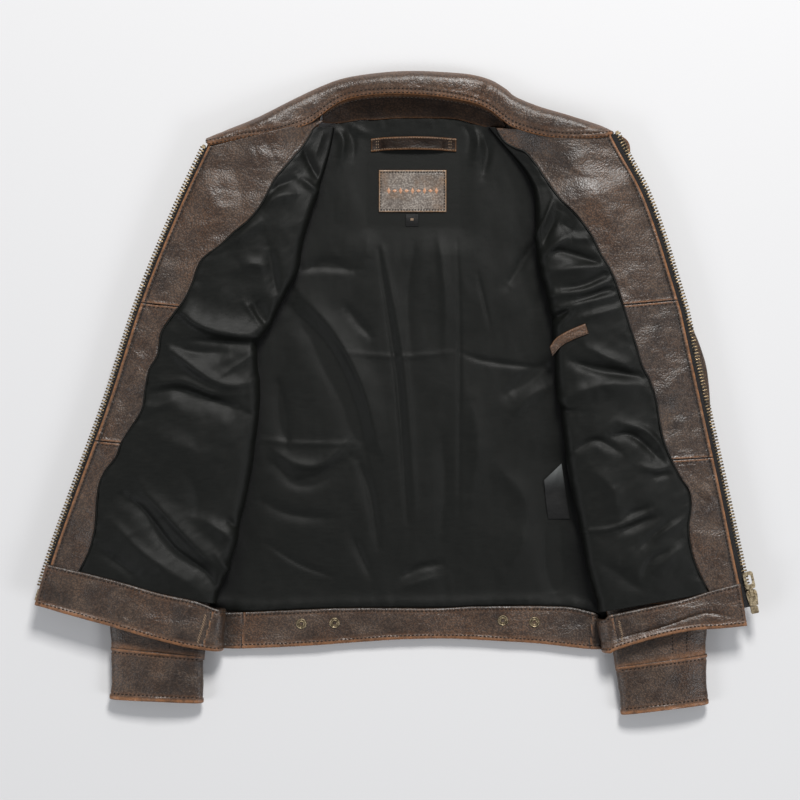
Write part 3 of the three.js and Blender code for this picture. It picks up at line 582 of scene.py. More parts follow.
def folds(x, y, lines):
    """Soft ridges (positive) and valleys (negative) along lines, each side of its own width."""
    total = np.zeros_like(x)
    for height, left, right, points in lines:
        run = curve(points, 60) if len(points) > 2 else resample(points, 60)
        best, offset, share = np.full(x.shape, 1e9), np.full(x.shape, 1e9), np.zeros(x.shape)
        near = max(left, right) * 3
        box = ((x > run[:, 0].min() - near) & (x < run[:, 0].max() + near)
               & (y > run[:, 1].min() - near) & (y < run[:, 1].max() + near))
        for i, (a, b) in enumerate(zip(run, run[1:])):
            d = b - a
            length = np.hypot(*d)
            px, py = x[box] - a[0], y[box] - a[1]
            t = np.clip((px * d[0] + py * d[1]) / length**2, 0, 1)
            far = np.hypot(px - t * d[0], py - t * d[1])
            cross = (d[0] * py - d[1] * px) / length
            closer = far < best[box]
            best[box] = np.where(closer, far, best[box])
            offset[box] = np.where(closer, np.sign(cross) * far, offset[box])
            share[box] = np.where(closer, (i + t) / (len(run) - 1), share[box])
        width = np.where(offset > 0, left, right)
        far = np.minimum(np.abs(offset / width), 8)
        shape = 0.5 * np.exp(-(far**2)) + 0.5 * np.exp(-1.6 * (np.sqrt(far**2 + 0.03) - 0.17))
        total += height * shape * np.sin(np.pi * np.clip(share, 0.04, 0.96)) ** 0.6 * (far < 7)
    return total


def bend(body_a, body_b, start, end):
    return body_a, body_b, tuple(v * MM for v in start), tuple(v * MM for v in end)


# Cloth turns between the back and a front in the rise from the table to the front's height.
TURN = {
    "left": bend("back", "left_front", (-135, 35, 7), (-136, 35.2, 27)),
    "right": bend("back", "right_front", (184, 35, 7), (185, 35.2, 27)),
}

FRONT_FOLDS = {
    "left": [
        (6.0, 14, 5, [(-265, 105), (-230, 80), (-190, 70), (-150, 70)]),
        (-3.5, 4, 9, [(-250, 65), (-160, 60)]),
        (-6.0, 11, 11, [(-170, 110), (-150, 80)]),
        (2.4, 4, 4, [(-180, 110), (-155, 75)]),
        (4.6, 12, 6, [(-270, 55), (-225, 20), (-195, 10), (-165, 15)]),
        (-3.5, 8, 8, [(-270, 60), (-240, 50), (-195, 50)]),
        (1.6, 3, 3, [(-210, 20), (-165, 50)]),
        (2.6, 8, 5, [(-290, 10), (-255, 15), (-215, 0), (-175, 0)]),
        (-5.0, 5, 14, [(-295, 0), (-260, 5), (-210, -10), (-180, -20)]),
        (1.5, 4, 6, [(-295, -20), (-260, -5)]),
        (4.6, 16, 6, [(-300, -115), (-250, -170), (-205, -215)]),
        (-6.0, 5, 12, [(-325, -120), (-300, -140), (-265, -185), (-225, -215), (-210, -240)]),
        (2.6, 7, 14, [(-340, -150), (-300, -190), (-235, -235)]),
        (-3.0, 8, 8, [(-355, -185), (-305, -220)]),
        (3.4, 9, 9, [(-230, -150), (-190, -175)]),
        (-3.0, 4, 4, [(-200, -150), (-190, -160)]),
        (2.5, 4, 4, [(-215, -190), (-195, -215), (-185, -185)]),
        (4.2, 9, 10, [(-160, 220), (-140, 235), (-115, 240)]),
        (-4.5, 7, 7, [(-160, 240), (-115, 260)]),
        (3.2, 9, 9, [(-195, 180), (-155, 210)]),
        (2.6, 7, 7, [(-185, 150), (-170, 155), (-150, 150)]),
        (-4.0, 6, 9, [(-150, 175), (-140, 115)]),
        (3.2, 4, 5, [(-115, 260), (-90, 240)]),
        (-4.6, 6, 6, [(-110, 295), (-90, 255)]),
        (2.2, 6, 6, [(-85, 320), (-100, 275)]),
        (2.4, 20, 20, [(-295, -45), (-245, -65), (-200, -80)]),
        (-2.2, 14, 12, [(-245, -105), (-235, -125), (-240, -150)]),
    ],
    "right": [
        (2.8, 3, 3, [(190, 235), (180, 210), (165, 180)]),
        (-4.2, 6, 6, [(195, 220), (175, 175)]),
        (-4.0, 9, 9, [(195, 205), (215, 195)]),
        (4.2, 6, 6, [(175, 160), (195, 180), (210, 190)]),
        (3.0, 5, 5, [(210, 185), (245, 185)]),
        (-5.2, 5, 7, [(180, 165), (200, 170), (250, 155)]),
        (4.0, 5, 9, [(180, 145), (215, 150), (260, 155)]),
        (-3.6, 5, 6, [(195, 125), (225, 130), (265, 150)]),
        (3.6, 5, 5, [(180, 115), (200, 120), (230, 125), (265, 140)]),
        (-3.2, 4, 6, [(215, 110), (270, 130)]),
        (3.4, 4, 5, [(190, 100), (210, 105), (270, 120)]),
        (-4.0, 4, 5, [(185, 90), (210, 100)]),
        (2.6, 3, 4, [(195, 80), (215, 105)]),
        (3.0, 4, 6, [(220, 90), (275, 105)]),
        (3.2, 8, 6, [(230, 55), (260, 40), (285, 30)]),
        (-6.2, 6, 6, [(210, 40), (240, 30), (300, 20)]),
        (3.8, 8, 14, [(190, -10), (245, 10), (295, 10)]),
        (-2.6, 3, 6, [(190, -10), (205, -20), (220, -20)]),
        (3.2, 5, 4, [(270, -35), (300, -45), (325, -70)]),
        (-4.8, 4, 6, [(255, -50), (285, -50), (320, -80)]),
        (-3.8, 4, 6, [(210, -70), (240, -55), (270, -70)]),
        (2.2, 6, 6, [(290, -85), (310, -90), (330, -85)]),
        (-2.2, 4, 4, [(305, -100), (330, -95)]),
        (2.0, 2.6, 2.6, [(215, -165), (260, -160), (305, -140)]),
        (-3.2, 5, 5, [(275, -145), (305, -135)]),
        (-3.6, 5, 5, [(270, -165), (315, -145)]),
        (-3.2, 4, 6, [(290, -185), (330, -150)]),
        (2.6, 5, 5, [(305, -175), (345, -150)]),
        (-2.4, 4, 4, [(295, -220), (305, -200), (330, -185)]),
        (2.2, 8, 8, [(305, -215), (345, -180)]),
        (2.4, 12, 12, [(235, -90), (260, -115), (265, -145)]),
        (-2.0, 10, 10, [(245, -200), (295, -235)]),
    ],
}


# The roll from the back up to a front: how far it stands out, and the share of the rise.
ROLL = curve([(22, 0), (10, 0.03), (2.5, 0.2), (0, 0.48), (2.6, 0.8), (8.5, 0.99)], 16)
LINING_TOP = 321
LINING_FOOT = {"left": -252, "right": -262}
LINING_PITCH = 2.3
FOLD_GAIN = 1.25
DEEPEST_FOLD = -5.4
ROLL_SMOOTHING = 7


def lining_roll(side, flat):
    """The roll's grid up from the back, and the front's grid on from there to the facing."""
    rows = flat[:, 0]
    reach = np.linalg.norm(flat[:, -1] - rows, axis=1)
    normal = np.stack([np.full(len(rows), float(SIDES[side])), np.full(len(rows), 0.18)], axis=1)
    normal /= np.linalg.norm(normal, axis=1)[:, None]
    neck = step(190, 300, rows[:, 1])[:, None]
    sideways, rise = ROLL.T
    out = np.minimum(sideways * (1 - 0.7 * neck), reach[:, None] * 0.7 + 2)
    wobble = cloudy(rows[:, 1], rows[:, 1] * 0, 42, 5)[:, None] * 3.2 * (1 - rise) * rise * 4
    xy = rows[:, None] + normal[:, None] * (out + wobble * (1 - neck))[..., None]
    join = rows + normal * out[:, -1:]
    top = front_height(side, join[:, 0], join[:, 1])[:, None]
    over = np.linspace(0, 1, max(24, int(reach.max() / LINING_PITCH)))[1:, None]
    rest = join[:, None] * (1 - over) + flat[:, -1:] * over
    roll = np.dstack([xy, ROOT_Z + (top - ROOT_Z) * rise])
    return roll, raised(rest, front_height(side, rest[..., 0], rest[..., 1]))


def front_lining(side):
    """The lining of a front with its roll down to the back: first the roll's columns, then the front's."""
    front, way, foot = FRONTS[side], SIDES[side], LINING_FOOT[side]
    fold, facing = between(front["fold"], LINING_TOP, foot), between(front["facing"], LINING_TOP, foot + 24)
    grid = np.concatenate(lining_roll(side, patch(fold, facing, LINING_PITCH, edge=1.2)), axis=1)
    for _ in range(ROLL_SMOOTHING):
        grid[:, 1:-1] = 0.25 * grid[:, :-2] + 0.5 * grid[:, 1:-1] + 0.25 * grid[:, 2:]
    x, y = grid[..., 0], grid[..., 1]
    fabric = np.clip((grid[..., 2] - ROOT_Z) / 20, 0, 1)
    _, right, above, below = gaps(grid)
    held = step(0, 9, right) * step(0, 10, above) * step(0, 12, below)
    ripple = np.maximum(FOLD_GAIN * folds(x, y, FRONT_FOLDS[side]), DEEPEST_FOLD)
    warp = 18 * cloudy(x, y, 70, 9)
    ripple += 1.5 * cloudy(x + warp, y - warp, 42, 11 + way)
    ripple += 0.55 * cloudy(x + y, 2.2 * (x - y) + warp, 30, 21 + way)
    pulls = noise(y / 7.5, x * 0, 31 + way) * hump(right, 4, 7)
    pulls += 0.8 * noise(y / 14 + x / 60, x * 0, 35) * hump(right, 8, 12)
    grid = grid + facing_up(grid) * ((ripple * held + 0.8 * pulls) * fabric)[..., None]
    grid[..., 2] -= 0.8 * hump(right, 0, 3)
    return grid


def leather_relief(x, y, seed=0):
    """Slow heaves in a leather panel, with smaller ones on them."""
    broad, middle, fine = (cloudy(x, y, size, seed + more, 2) for size, more in ((58, 0), (21, 3), (8, 5)))
    return 2.6 * broad + 0.8 * middle + 0.12 * fine


def near_edges(*distances, width=1.7):
    """A mask along edges, from the distances to them: added as wear, taken away as painted shade."""
    return np.clip(sum(np.exp(-((d / width) ** 2)) for d in distances), 0, 1)


FACING_CREASES = {
    "left": [
        (-0.9, 2.0, 3.0, [(-156, 305), (-146, 286), (-138, 274)]),
        (-0.8, 2.0, 2.6, [(-170, 300), (-164, 284), (-160, 270)]),
        (1.6, 12, 18, [(-232, 262), (-212, 226), (-200, 206)]),
        (-1.0, 6, 9, [(-196, 282), (-186, 244), (-182, 222)]),
        (1.3, 10, 14, [(-300, 92), (-306, 60), (-318, 20)]),
        (-1.1, 4, 6, [(-322, 50), (-308, 38), (-296, 30)]),
        (1.4, 8, 12, [(-330, -2), (-336, -34), (-348, -52)]),
        (1.2, 8, 9, [(-370, -84), (-376, -120), (-386, -160)]),
        (-0.9, 3, 5, [(-384, -126), (-372, -138), (-364, -142)]),
        (-0.8, 3, 5, [(-396, -160), (-382, -172), (-370, -178)]),
    ],
    "right": [
        (1.8, 14, 18, [(222, 262), (250, 222), (262, 188)]),
        (-1.0, 4, 7, [(196, 276), (216, 262), (238, 256)]),
        (1.5, 12, 14, [(306, 100), (316, 50), (330, -10)]),
        (-1.0, 4, 6, [(304, 60), (320, 52), (338, 50)]),
        (-1.0, 4, 6, [(322, -18), (340, -24), (356, -22)]),
        (1.2, 7, 9, [(338, -20), (350, -48), (356, -72)]),
        (-1.2, 3, 4, [(352, -92), (368, -104), (384, -112)]),
        (-1.2, 3, 4, [(356, -118), (372, -128), (388, -134)]),
        (1.2, 5, 7, [(356, -106), (374, -118), (390, -124)]),
        (-1.1, 3, 4, [(358, -146), (376, -152), (392, -160)]),
        (1.2, 5, 7, [(360, -168), (380, -172), (398, -186)]),
        (-1.0, 3, 4, [(366, -190), (386, -194), (402, -204)]),
    ],
}


def facing_panel(side, high, low, seam_above, seam_below, seed):
    """One facing panel between the lining's edge and the zip."""
    front = FRONTS[side]
    inner = between(front["facing"], high[1], low[1])
    outer = between(front["edge"], high[0], low[0])
    grid = patch(inner, outer, 1.9, edge=1.4)
    x, y = grid[..., 0], grid[..., 1]
    left, right, above, below = gaps(grid)
    z = front_height(side, x, y) + 0.6 + leather_relief(x, y, seed) * step(0, 14, right)
    z += folds(x, y, FACING_CREASES[side]) * step(0, 10, right) * step(0, 6, left)
    z += 0.75 * hump(right, 2.2, 1.9) - 0.55 * hump(right, 5.4, 1.0) + 0.35 * hump(left, 1.8, 1.6)
    pucker = noise(x / 6.5 + y / 11, y / 9, seed + 40)
    z += 0.3 * pucker * hump(right, 8, 5)
    # Worn tan along the zip edge and beside the seams; painted shade in the stitch groove, along the edge by
    # the lining and in the seams.
    wear_and_painted_light = 1.1 * hump(right, 1.0, 1.9) - 0.9 * hump(right, 5.2, 1.5) - 0.5 * near_edges(left, width=1.6)
    for gap, sewn in ((above, seam_above), (below, seam_below)):
        if sewn:
            z += 0.55 * hump(gap, 2.0, 1.5) - 0.5 * hump(gap, 4.6, 1.1) + 0.5 * pucker * hump(gap, 7, 6)
            wear_and_painted_light += 0.9 * hump(gap, 1.6, 1.0) - 1.4 * near_edges(gap, width=0.9)
    return solid(raised(grid, z), 2.2, 1.2, np.clip(wear_and_painted_light, -1, 1))


def surface_of(grid):
    """A grid's area in square metres."""
    a, b = grid[1:, :-1] - grid[:-1, :-1], grid[:-1, 1:] - grid[:-1, :-1]
    c, d = grid[1:, :-1] - grid[1:, 1:], grid[:-1, 1:] - grid[1:, 1:]
    doubled = np.linalg.norm(np.cross(a, b), axis=2) + np.linalg.norm(np.cross(c, d), axis=2)
    return float(doubled.sum() / 2) * MM**2


def build_front(side):
    turn = TURN[side]
    lining = front_lining(side)
    # Painted shade: the lining is darkened low on the roll, down towards the back, under the front's overhang.
    part, _ = solid(lining, 0.9, 0.5, -0.95 * (1 - step(5, 27, lining[..., 2])))
    nodes = [f"{side}_front_lining", f"{side}_hand_pocket_bag"]
    nodes += ["chest_pocket_bag"] if side == "right" else []
    piece = make(f"{side}_lining_sheet", part, LINING, turn, nodes)
    round(surface_of(lining), 4)
    make(f"{side}_shell_leather", front_shell(side), LEATHER, turn, f"{side}_front_shell")
    build_facings(side)
    build_zip(side)


def build_facings(side):
    """Three panels with their stitches, and a slim tuck of lining cloth along their inner edge."""
    front, way, turn = FRONTS[side], SIDES[side], TURN[side]
    (top_out, top_in), (low_out, low_in) = front["seams"]
    start = (front["zip"][0][1] - 0.3, front["facing"][0][1] - 0.5)
    last = (-237, -243) if side == "right" else (-212, -223)
    cuts = [start, (top_out[1], top_in[1]), (low_out[1], low_in[1]), last]
    threads = []
    for i, where in enumerate(("upper", "middle", "lower")):
        low = (cuts[i + 1][0] + 0.3, cuts[i + 1][1] + 0.3)
        part, upper = facing_panel(side, cuts[i], low, i > 0, i < 2, 60 + i * 7 + way)
        make(f"{side}_{where}_facing_leather", part, LEATHER, turn, f"{side}_facing_{where}")
        threads.append(stitches(line_on(upper, column_gap=5.4, last=True)[4:-4]))
        if i > 0:
            threads.append(stitches(line_on(upper, row_gap=4.6)[5:-5]))
    make(f"{side}_facing_stitches", threads, THREAD, turn)
    run = resample(between(front["facing"], 318, -224 if side == "left" else -232), 260)
    z = front_height(side, run[:, 0], run[:, 1]) + 0.7 + 0.25 * noise(np.arange(260) / 5, np.zeros(260), 3)
    make(f"{side}_facing_tuck", rope(np.column_stack([beside(run, -way * 0.7), z]), 0.9, 0.8), LINING, turn)


def front_shell(side):
    """The outer leather under the lining and the facings, turning down beside the roll."""
    front, way = FRONTS[side], SIDES[side]
    low = -252 if side == "left" else -256
    fold, edge = between(front["fold"], 312, low), between(front["edge"], 300, low + 8)
    flat = patch(beside(fold, way * 9.0), beside(edge, -way * 0.4), 4.0, edge=1.4)
    x, y = flat[..., 0], flat[..., 1]
    sag = 3.6 * step(8, 40, gaps(flat)[1])
    front_part = raised(flat, front_height(side, x, y, 0.0) - SHELL_DROP - sag - 0.4 * cloudy(x, y, 60, 77))
    rows = flat[:, 0]
    profile = curve([(20, 0.9), (8, 2.2), (-1.5, 6.5), (-4.0, 14), (-2.5, 22)], 9)
    share = (front_part[:, :1, 2] - 1) / 28
    wall = np.dstack([rows[:, None, 0] + way * profile[None, :, 0] * (0.35 + 0.65 * share),
                      np.repeat(rows[:, 1:2], 9, axis=1),
                      np.minimum(profile[None, :, 1] * share, front_part[:, :1, 2] - 1)])
    grid = np.concatenate([wall, front_part], axis=1)
    _, right, _, below = gaps(grid)
    return solid(grid, 1.8, 0.9, 0.9 * near_edges(right, below, width=1.5))[0]


# ---- Zips ----
TOOTH_PITCH = 3.8

# ---- Zips ----
def offset_z(run, distance, z):
    """A flat run moved to its left, at one height."""
    moved = beside(run, distance)
    return np.column_stack([moved, np.full(len(moved), z)])


def tooth(tape_out):
    """One tooth: legs round the tape's edge, a waist, and a rounded head with a nib."""
    stations = [(-0.9, 0.6, 0.9), (-0.6, 1.0, 1.4), (0.8, 1.15, 1.55), (2.0, 1.0, 1.4), (3.0, 0.95, 1.3),
                (4.0, 1.15, 1.4), (5.1, 1.15, 1.4), (5.8, 0.85, 1.0), (6.1, 0.4, 0.45)]
    angle = np.linspace(0, 2 * np.pi, 10, endpoint=False)
    power = 0.6
    around = np.stack([np.sign(np.cos(angle)) * np.abs(np.cos(angle)) ** power,
                       np.sign(np.sin(angle)) * np.abs(np.sin(angle)) ** power], axis=1)
    return np.array([[[tape_out + x, half * c, tall * s] for c, s in around] for x, half, tall in stations])


def build_zip(side):
    front, way, turn = FRONTS[side], SIDES[side], TURN[side]
    head, foot = (294, -232) if side == "left" else (309, -256)
    run = resample(between(front["zip"], head, foot), 420)
    tape_out = front["tape_out"]
    grid = patch(beside(run, -way * 11.0), beside(run, way * (tape_out + 1.9)), 2.4, edge=0.7)
    part, _ = solid(raised(grid, CHAIN_Z), 1.0, 0.5)
    make(f"{side}_tape_cloth", part, TAPE, turn, f"{side}_zip_tape")
    make(f"{side}_tape_cord", rope(offset_z(run, way * (tape_out + 1.5), CHAIN_Z), 0.95), TAPE, turn)
    count = int(span(run) / TOOTH_PITCH)
    centres = resample(run, (np.arange(count) + 0.5) / count)
    along = np.gradient(centres, axis=0)
    along /= np.linalg.norm(along, axis=1)[:, None]
    out = np.stack([-along[:, 1], along[:, 0]], axis=1) * way
    shape = tooth(tape_out)
    parts = []
    for centre, way_out, way_along in zip(centres, out, along):
        xy = centre + shape[..., :1] * way_out + shape[..., 1:2] * way_along
        loops = np.dstack([xy, CHAIN_Z + shape[..., 2]])
        parts.append(tube(loops[:, ::-1] if way > 0 else loops, closed_ends=True))
    make(f"{side}_teeth_row", parts, BRASS, turn, f"{side}_zip_teeth")


# ---- Back ----
HEM_TOP = curve([(-216, -263), (-180, -263), (-114, -260), (-54, -258), (54, -258), (102, -256),
                 (198, -256), (234, -262), (246, -266)])
HEM_BOTTOM = curve([(-216, -306), (-186, -307), (-114, -304), (-54, -300), (6, -296), (66, -295),
                    (126, -298), (174, -301), (228, -307), (250, -308)])
BACK_FOLDS = [
    (4.4, 16, 6, [(-115, 120), (-75, 75), (-40, 10), (-20, -65)]),
    (-4.6, 6, 16, [(-125, 105), (-90, 65), (-60, 10), (-35, -70)]),
    (-2.6, 3, 3, [(-20, 175), (-5, 75), (5, -5), (15, -155)]),
    (1.8, 5, 5, [(-15, 175), (5, 75), (15, -5), (25, -150)]),
    (-3.6, 8, 5, [(-110, 150), (-85, 155), (-50, 150)]),
    (-3.0, 5, 5, [(-60, 105), (-30, 70)]),
    (3.0, 8, 5, [(-145, -70), (-120, -85), (-90, -85), (-60, -60)]),
    (-3.8, 5, 9, [(-145, -85), (-120, -105), (-90, -100), (-55, -75)]),
    (-2.6, 5, 6, [(-45, -80), (-30, -120), (-20, -185)]),
    (-2.2, 6, 8, [(-160, -130), (-125, -145), (-75, -150)]),
    (-1.6, 2.6, 3.6, [(-155, -180), (-115, -205), (-75, -220)]),
    (-2.2, 4, 5, [(-50, -175), (-30, -220)]),
    (-3.6, 4, 4, [(10, -220), (30, -210), (55, -205)]),
    (1.6, 6, 6, [(5, -235), (55, -220)]),
    (-4.4, 8, 8, [(190, 40), (135, 0)]),
    (2.4, 8, 8, [(185, 10), (160, -5), (140, -30)]),
    (-3.2, 7, 7, [(170, 185), (135, 130)]),
    (-1.2, 2, 2, [(100, 145), (115, 80)]),
    (-1.8, 3, 3, [(80, 50), (110, 40), (185, 30)]),
    (1.2, 3, 3, [(-160, -55), (-115, -60), (-50, -60)]),
    (0.9, 3, 3, [(-60, 50), (5, 45), (70, 50)]),
    (-4.6, 14, 14, [(195, -135), (190, -185), (195, -245)]),
    (2.0, 12, 12, [(125, -90), (160, -130), (155, -175), (135, -215)]),
    (1.6, 8, 5, [(50, 205), (60, 125), (60, 50)]),
    (-1.4, 7, 6, [(25, 190), (15, 115), (20, 50)]),
    (-3.2, 6, 8, [(-140, 10), (-130, -65)]),
    (2.0, 12, 12, [(-50, 245), (-35, 200), (-35, 160)]),
    (-1.2, 2.4, 2.4, [(75, 185), (78, 75), (77, -150)]),
    (-2.0, 10, 10, [(55, -45), (60, -105), (55, -175)]),
    (2.2, 14, 14, [(90, -5), (100, -65), (90, -125)]),
    (3.6, 5, 6, [(-70, 322), (-62, 304), (-66, 282)]),
    (-3.4, 4, 5, [(-60, 326), (-50, 306), (-50, 284)]),
    (3.0, 4, 5, [(-52, 328), (-38, 316), (-24, 312)]),
    (-2.6, 4, 4, [(84, 326), (90, 310), (86, 290)]),
    (3.2, 5, 5, [(96, 322), (100, 302), (94, 280)]),
    (-3.0, 5, 6, [(108, 312), (112, 292), (106, 262)]),
]


# The lining lies flat where the labels and the loop are sewn on: lowest and highest x, lowest and highest y.
SEWN_FLAT = ((-34, 78, 202, 306), (180, 214, -152, -84))
SEWN_Z = 3.1


def back_lining():
    left = between(beside(FRONTS["left"]["fold"], -14), 322, -262)
    right = between(beside(FRONTS["right"]["fold"], 14), 322, -262)
    neck = curve([tuple(left[0]), (-60, 328), (-24, 331), (6, 333), (42, 333), (72, 332), (96, 326),
                  tuple(right[0])])
    under = resample(HEM_TOP, 200)
    under[:, 1] += 2 - 6 * step(-205, -165, under[:, 0])
    lower = np.vstack([[(-234, -256)], under, [(262, -271)]])
    grid = patch(left, right, 2.5, top=neck, bottom=lower, edge=1.0)
    x, y = grid[..., 0], grid[..., 1]
    gap_left, gap_right, above, below = gaps(grid)
    held = step(0, 14, above) * step(0, 12, below)
    warp = 22 * cloudy(x, y, 90, 3)
    z = 5.4 + 1.2 * folds(x, y, BACK_FOLDS) * held
    z += (1.1 * cloudy(x + warp, y - warp, 70, 13) + 0.4 * cloudy(2 * x + warp, y * 0.8, 34, 17)) * held
    z += 2.5 * (1 - step(0, 40, gap_left)) + 2.5 * (1 - step(0, 40, gap_right))
    z += 0.6 * noise(x / 7, y * 0, 5) * hump(below, 5, 8) + 0.5 * noise(x / 6, y * 0, 8) * hump(above, 4, 6)
    z += 1.6 * hump(below, 9, 8) - 1.2 * hump(below, 0, 3)
    for low_x, high_x, low_y, high_y in SEWN_FLAT:
        beyond_x = np.maximum(np.maximum(low_x - x, x - high_x), 0)
        beyond_y = np.maximum(np.maximum(low_y - y, y - high_y), 0)
        z += (SEWN_Z - z) * (1 - step(-6, 36, np.hypot(beyond_x, beyond_y)))
    return raised(grid, np.maximum(z, 2.9))


def back_height(x, y):
    """The height of the back lining's grid nearest to a place."""
    far = (BACK[..., 0] - x) ** 2 + (BACK[..., 1] - y) ** 2
    return float(BACK[..., 2].flat[far.argmin()])


BACK = back_lining()


def build_back():
    x, y = BACK[..., 0], BACK[..., 1]
    # Painted shade: the back lining is darkened beside both fronts' folds, over a wider band towards the hem.
    deep = 9 + 18 * step(-100, -220, y)
    shade = sum(1 - step(-4, deep, SIDES[s] * (x_at(FRONTS[s]["fold"], y) - x)) for s in SIDES)
    part, _ = solid(BACK, 0.8, 0.5, -0.9 * np.clip(shade, 0, 1))
    lining = make("back_lining_sheet", part, LINING, "back", "back_lining")
    round(surface_of(BACK), 4)
    build_back_shell()
    build_back_hem()
    build_neck()
    build_hanger_loop()
    build_patch()
    build_size_tab()
    build_care_label()


def build_back_shell():
    """The back panel and the yoke on the table, with the seam between them."""
    left = curve([(-198, 281), (-191, 170), (-178, 59), (-184, -60), (-205, -200), (-214, -290)])
    right = curve([(212, 281), (207, 170), (200, 59), (206, -60), (228, -200), (246, -290)])
    shoulders = curve([(-198, 281), (-84, 322), (-42, 326), (20, 328), (72, 327), (122, 318), (212, 281)])
    for name, high, low, top, nodes in (("back_yoke_leather", 281, 201, shoulders, ()),
                                        ("back_panel_leather", 200, -290, None, "back_shell")):
        grid = patch(between(left, high, low), between(right, high, low), 5.0, top=top, edge=1.2)
        z = 1.15 + 0.15 * cloudy(grid[..., 0], grid[..., 1], 60, 50)
        part, _ = solid(raised(grid, z), 1.9, 0.9, near_edges(*gaps(grid), width=1.6))
        make(name, part, LEATHER, "back", nodes)


STUDS = {"left_outer": (-113, -277), "left_inner": (-73, -276),
         "right_inner": (130, -273), "right_outer": (168, -275)}


def build_back_hem():
    grid = patch(HEM_TOP[::-1], HEM_BOTTOM[::-1], 2.0, edge=2.6)
    x, y = grid[..., 0], grid[..., 1]
    top, bottom, _, _ = gaps(grid)
    z = 8.9 + 0.9 * cloudy(x, y, 46, 90, 2) + 0.4 * cloudy(x * 0.6, y, 15, 93, 2) + 0.2 * cloudy(x, y, 9, 91)
    z += 0.6 * hump(bottom, 2.4, 2.0) - 0.5 * hump(bottom, 6.2, 1.1)
    z += 0.5 * hump(top, 2, 1.8) - 0.4 * hump(top, 5, 1.1)
    z += 0.35 * noise(x / 7, y / 10, 92) * (hump(bottom, 9, 6) + hump(top, 8, 6))
    # Worn tan along the bottom edge and the stitch rows; painted shade along the top edge.
    wear_and_painted_light = 1.1 * hump(bottom, 1.2, 2.0) + 0.2 * hump(bottom, 6.4, 2.2)
    wear_and_painted_light += 0.15 * hump(top, 4.8, 2) - 0.5 * hump(top, 0.4, 1.0)
    for foot in (-184, 236):
        seam = foot + (y + 280) * 0.05
        z += 0.4 * hump(x, seam + 3, 2) - 1.0 * hump(x, seam, 1.0)
        # Worn tan beside each side seam, painted shade in it.
        wear_and_painted_light = wear_and_painted_light + 0.8 * hump(x, seam + 1.6, 0.9) - 1.2 * hump(x, seam, 0.8)
    # Painted shade: darker at both ends of the band, beside the fronts' rolls.
    wear_and_painted_light = wear_and_painted_light - 0.7 * step(-188, -206, x) - 0.5 * step(236, 246, x)
    for sx, sy in STUDS.values():
        z -= 0.7 * np.exp(-(((x - sx) ** 2 + (y - sy) ** 2) / 90))
    part, upper = solid(raised(grid, z), 5.0, 2.5, np.clip(wear_and_painted_light, -1, 1))
    make("back_hem_leather", part, LEATHER, "back", "back_hem_band")
    rows = [line_on(upper, column_gap=6.6, last=True)[3:-3], line_on(upper, column_gap=5.4)[3:-3]]
    make("back_hem_stitches", [stitches(r) for r in rows], THREAD, "back")
    for name, (sx, sy) in STUDS.items():
        make(f"hem_stud_ring_{name}", stud(sx, sy), STUD_BRASS, "back", f"hem_stud_{name}")


def lathe(profile, x, y, sides=40):
    """A closed turned form about an upright axis."""
    angle = np.linspace(0, 2 * np.pi, sides, endpoint=False)
    return tube(np.array([[[x + r * math.cos(a), y + r * math.sin(a), z] for a in angle] for r, z in profile]))


def stud(x, y):
    top = 11.2
    profile = [(0.01, 4.2), (1.2, 4.25), (1.8, 4.6), (2.0, 4.95), (1.6, 5.4), (1.5, 6.2), (1.9, 6.4),
               (1.9, top), (5.9, top), (6.4, top + 0.25), (6.45, top + 0.7), (6.1, top + 1.25),
               (5.5, top + 1.5), (4.9, top + 1.2), (4.6, top + 0.5), (4.3, top + 0.1), (3.7, top + 0.2),
               (3.4, top + 0.9), (3.0, top + 1.15), (2.5, top + 1.0), (2.1, top + 0.2), (1.9, top - 1.2),
               (0.01, top - 1.3)]
    return lathe(profile, x, y)


# ---- Collar and neck ----
COLLAR_OUTER = curve([(-227, 304), (-198, 316), (-162, 331), (-126, 350), (-90, 368), (-60, 379),
                      (-18, 385.5), (20, 387.6), (54, 386.5), (90, 383.5), (114, 377), (132, 366),
                      (144, 356), (174, 343), (210, 332), (246, 320), (262, 312)], 600)
COLLAR_INNER = curve([(-224, 298), (-180, 306), (-150, 310), (-126, 316), (-104, 324), (-90, 334),
                      (-76, 345), (-58, 354), (-34, 358.6), (-6, 360.5), (30, 359.5), (66, 355.5),
                      (96, 349), (114, 341), (128, 330), (142, 320), (168, 311), (192, 306.5),
                      (216, 305.5), (246, 307.5), (259, 311)], 600)


def collar_height(x):
    """The collar lies higher toward its ends, where it runs up onto the fronts."""
    left, right = 1 - step(-168, -62, x), step(96, 206, x)
    return 19 + 13.4 * np.maximum(left, right)


COLLAR_CREASES = [
    (-1.3, 2.5, 3.5, [(108, 352), (118, 362), (124, 372)]),
    (-1.2, 2.5, 3.5, [(96, 356), (104, 368), (108, 378)]),
    (1.2, 5, 6, [(102, 352), (111, 364), (116, 374)]),
    (-0.8, 3, 4, [(-110, 330), (-100, 344), (-92, 360)]),
    (-0.7, 3, 4, [(-150, 314), (-146, 324), (-140, 336)]),
    (-0.8, 3, 4, [(186, 312), (190, 322), (196, 332)]),
]
# Each piece of the collar: its shares of the outline, what it rides on, and the node it replaces.
COLLAR_PIECES = {
    "left_collar_leather": (0.0, 0.333, TURN["left"], "left_collar_end"),
    "collar_mid_left_leather": (0.333, 0.5, bend("back", "collar", (-66, 350, 9), (-6, 374, 9)), ()),
    "collar_mid_right_leather": (0.5, 0.672, bend("back", "collar", (106, 350, 9), (46, 374, 9)),
                                 "collar_middle"),
    "right_collar_leather": (0.672, 1.0, TURN["right"], "right_collar_end"),
}


